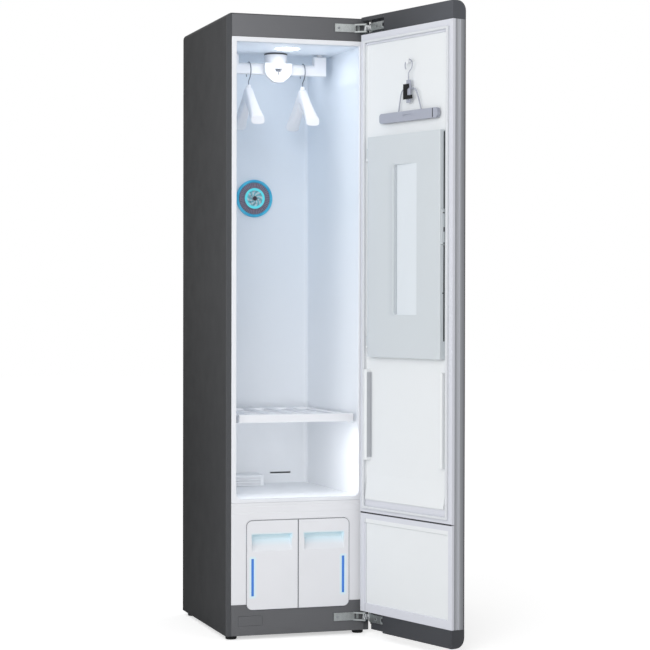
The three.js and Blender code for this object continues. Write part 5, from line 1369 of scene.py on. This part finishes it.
class CABINET_OT_stage(CabinetOperator, bpy.types.Operator):
    """Set up the floor, lamps, world and camera"""

    bl_idname = "cabinet.stage"
    bl_label = "Studio"

    floor_size: bpy.props.FloatProperty(
        name="Floor size", description="Edge length of the floor", unit="LENGTH", min=1, default=40)
    world_level: number_setting("World level", "Even light from all round", 0, 5, 0.58)
    key_power: power_setting("Key light", "Large lamp in front of the cabinet", 115)
    fill_power: power_setting("Side light", "Large lamp on the left", 66)
    inside_power: power_setting("Compartment light", "Lamp under the ceiling lens", 0.13)
    mouth_power: power_setting("Upper fill", "Even light over the shelf", 0.28)
    lower_power: power_setting("Lower fill", "Even light under the shelf", 0.32)
    wash_power: power_setting("Rear wash", "Light down the rear wall", 0.24)
    ceiling_power: power_setting("Ceiling wash", "Light up to the ceiling", 0.09)
    floor_lift: number_setting("Floor lift", "White added to the floor where the camera sees it", 0, 2, 0.55)

    def execute(self, context):
        scene = context.scene
        scene.view_settings.view_transform = "Standard"
        self.floor()
        self.world(scene)
        self.lamps()
        self.camera(scene)
        return {"FINISHED"}

    def floor(self):
        """A wide pale floor."""
        mesh = bmesh.new()
        bmesh.ops.create_grid(mesh, x_segments=1, y_segments=1, size=self.floor_size / 2)
        data = bpy.data.meshes.new("Floor")
        mesh.to_mesh(data)
        mesh.free()
        floor = bpy.data.objects.new("Floor", data)
        bpy.context.scene.collection.objects.link(floor)
        finish = Finish("Pale floor")
        seen = finish.node("ShaderNodeLightPath", output="Is Camera Ray")
        matt = finish.node("ShaderNodeBsdfDiffuse", inputs={"Color": (0.8, 0.8, 0.8)})
        lift = finish.node("ShaderNodeEmission", inputs={
            "Color": WHITE, "Strength": seen * self.floor_lift})
        data.materials.append(finish.finished(finish.node("ShaderNodeAddShader", inputs={0: matt, 1: lift})))

    def world(self, scene):
        """White where it is seen or mirrored, and dimmer where it only lights."""
        scene.world = bpy.data.worlds.new("Studio")
        sky = Graph(scene.world)
        seen = sky.largest(*[sky.node("ShaderNodeLightPath", output=ray)
                             for ray in ("Is Camera Ray", "Is Glossy Ray", "Is Transmission Ray")])
        level = sky.node("ShaderNodeMapRange", inputs={
            "Value": seen, "To Min": self.world_level, "To Max": 1})
        light = sky.node("ShaderNodeBackground", inputs={"Color": WHITE, "Strength": level})
        sky.node("ShaderNodeOutputWorld", inputs={"Surface": light}, output=None)

    def lamps(self):
        """Two large lamps outside, a small one under the ceiling lens, and strips in the compartment."""
        for name, spot, target, size, power in (
                ("Key lamp", (-2.6, -5.0, 2.8), (0, 0, 0.95), 3.2, self.key_power),
                ("Side lamp", (-5.0, -2.4, 1.6), (0, 0, 0.9), 2.6, self.fill_power)):
            self.lamp(name, Vector(spot), Vector(target), size, power)
        x, y, _ = box_middle("ceiling_lamp")
        under = Vector((x, y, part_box("ceiling_lamp")[0][2] - LAMP_GAP))
        self.lamp("Compartment lamp", under, under - Vector((0, 0, 1)), 0.08, self.inside_power)
        for name, spot, direction, width, height, power in (
                ("Upper fill", place(0, 4, 1210), (0, 1, 0), 0.38, 1.02, self.mouth_power),
                ("Lower fill", place(0, 4, 520), (0, 1, 0), 0.38, 0.18, self.lower_power),
                ("Rear wash", place(0, 370, 1752), (0, 0.3, -1), 0.32, 0.05, self.wash_power),
                ("Ceiling wash", place(0, 110, 1660), (0, 0.02, 1), 0.36, 0.16, self.ceiling_power)):
            strip = self.lamp(name, spot, spot + Vector(direction), width, power)
            strip.shape = "RECTANGLE"
            strip.size_y = height

    def lamp(self, name, spot, target, size, power):
        """A round area lamp aimed at a target, which mirrors don't show."""
        data = bpy.data.lights.new(name, "AREA")
        data.shape = "DISK"
        data.size = size
        data.energy = power
        lamp = bpy.data.objects.new(name, data)
        lamp.visible_glossy = False
        lamp.location = spot
        lamp.rotation_euler = (target - spot).to_track_quat("-Z", "Y").to_euler()
        bpy.context.scene.collection.objects.link(lamp)
        return data

    def camera(self, scene):
        """The photo's camera."""
        data = bpy.data.cameras.new("Camera")
        camera = bpy.data.objects.new("Camera", data)
        scene.collection.objects.link(camera)
        scene.camera = camera
        data.sensor_width = CAMERA_SENSOR
        data.lens = CAMERA_LENS
        data.clip_end = 100
        yaw, tilt, roll = (math.radians(angle) for angle in CAMERA_ANGLES)
        turn = (Matrix.Rotation(-yaw, 4, "Z") @ Matrix.Rotation(QUARTER_TURN - tilt, 4, "X")
                @ Matrix.Rotation(roll, 4, "Z"))
        camera.matrix_world = Matrix.Translation(place(*CAMERA_PLACE)) @ turn


OPERATORS = (
    CABINET_OT_wrap, CABINET_OT_face, CABINET_OT_compartment, CABINET_OT_air_outlet, CABINET_OT_hanger_bar,
    CABINET_OT_garment_hangers, CABINET_OT_tanks, CABINET_OT_machines, CABINET_OT_hinges,
    CABINET_OT_door_shell, CABINET_OT_door_seal, CABINET_OT_trouser_press, CABINET_OT_clip_hanger,
    CABINET_OT_stage)


class CABINET_PT_sidebar(bpy.types.Panel):
    """Lists the cabinet's settings and pieces"""

    bl_idname = "CABINET_PT_sidebar"
    bl_label = "Steam cabinet"
    bl_space_type = "VIEW_3D"
    bl_region_type = "UI"
    bl_category = "Cabinet"

    def draw(self, context):
        layout = self.layout
        for group in (context.scene.cabinet_finish, context.scene.cabinet_sizes):
            column = layout.column(align=True)
            for key in group.bl_rna.properties.keys():
                if key not in ("rna_type", "name"):
                    column.prop(group, key)
        column = layout.column()
        for operator in OPERATORS:
            column.operator(operator.bl_idname)


CLASSES = (CabinetFinish, CabinetSizes, *OPERATORS, CABINET_PT_sidebar)


def register():
    for each in CLASSES:
        bpy.utils.register_class(each)
    bpy.types.Scene.cabinet_finish = bpy.props.PointerProperty(type=CabinetFinish)
    bpy.types.Scene.cabinet_sizes = bpy.props.PointerProperty(type=CabinetSizes)


def unregister():
    del bpy.types.Scene.cabinet_sizes
    del bpy.types.Scene.cabinet_finish
    for each in reversed(CLASSES):
        bpy.utils.unregister_class(each)


def main():
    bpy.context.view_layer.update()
    register()
    for operator in OPERATORS:
        group, name = operator.bl_idname.split(".")
        getattr(getattr(bpy.ops, group), name)()


if __name__ == "__main__":
    main()
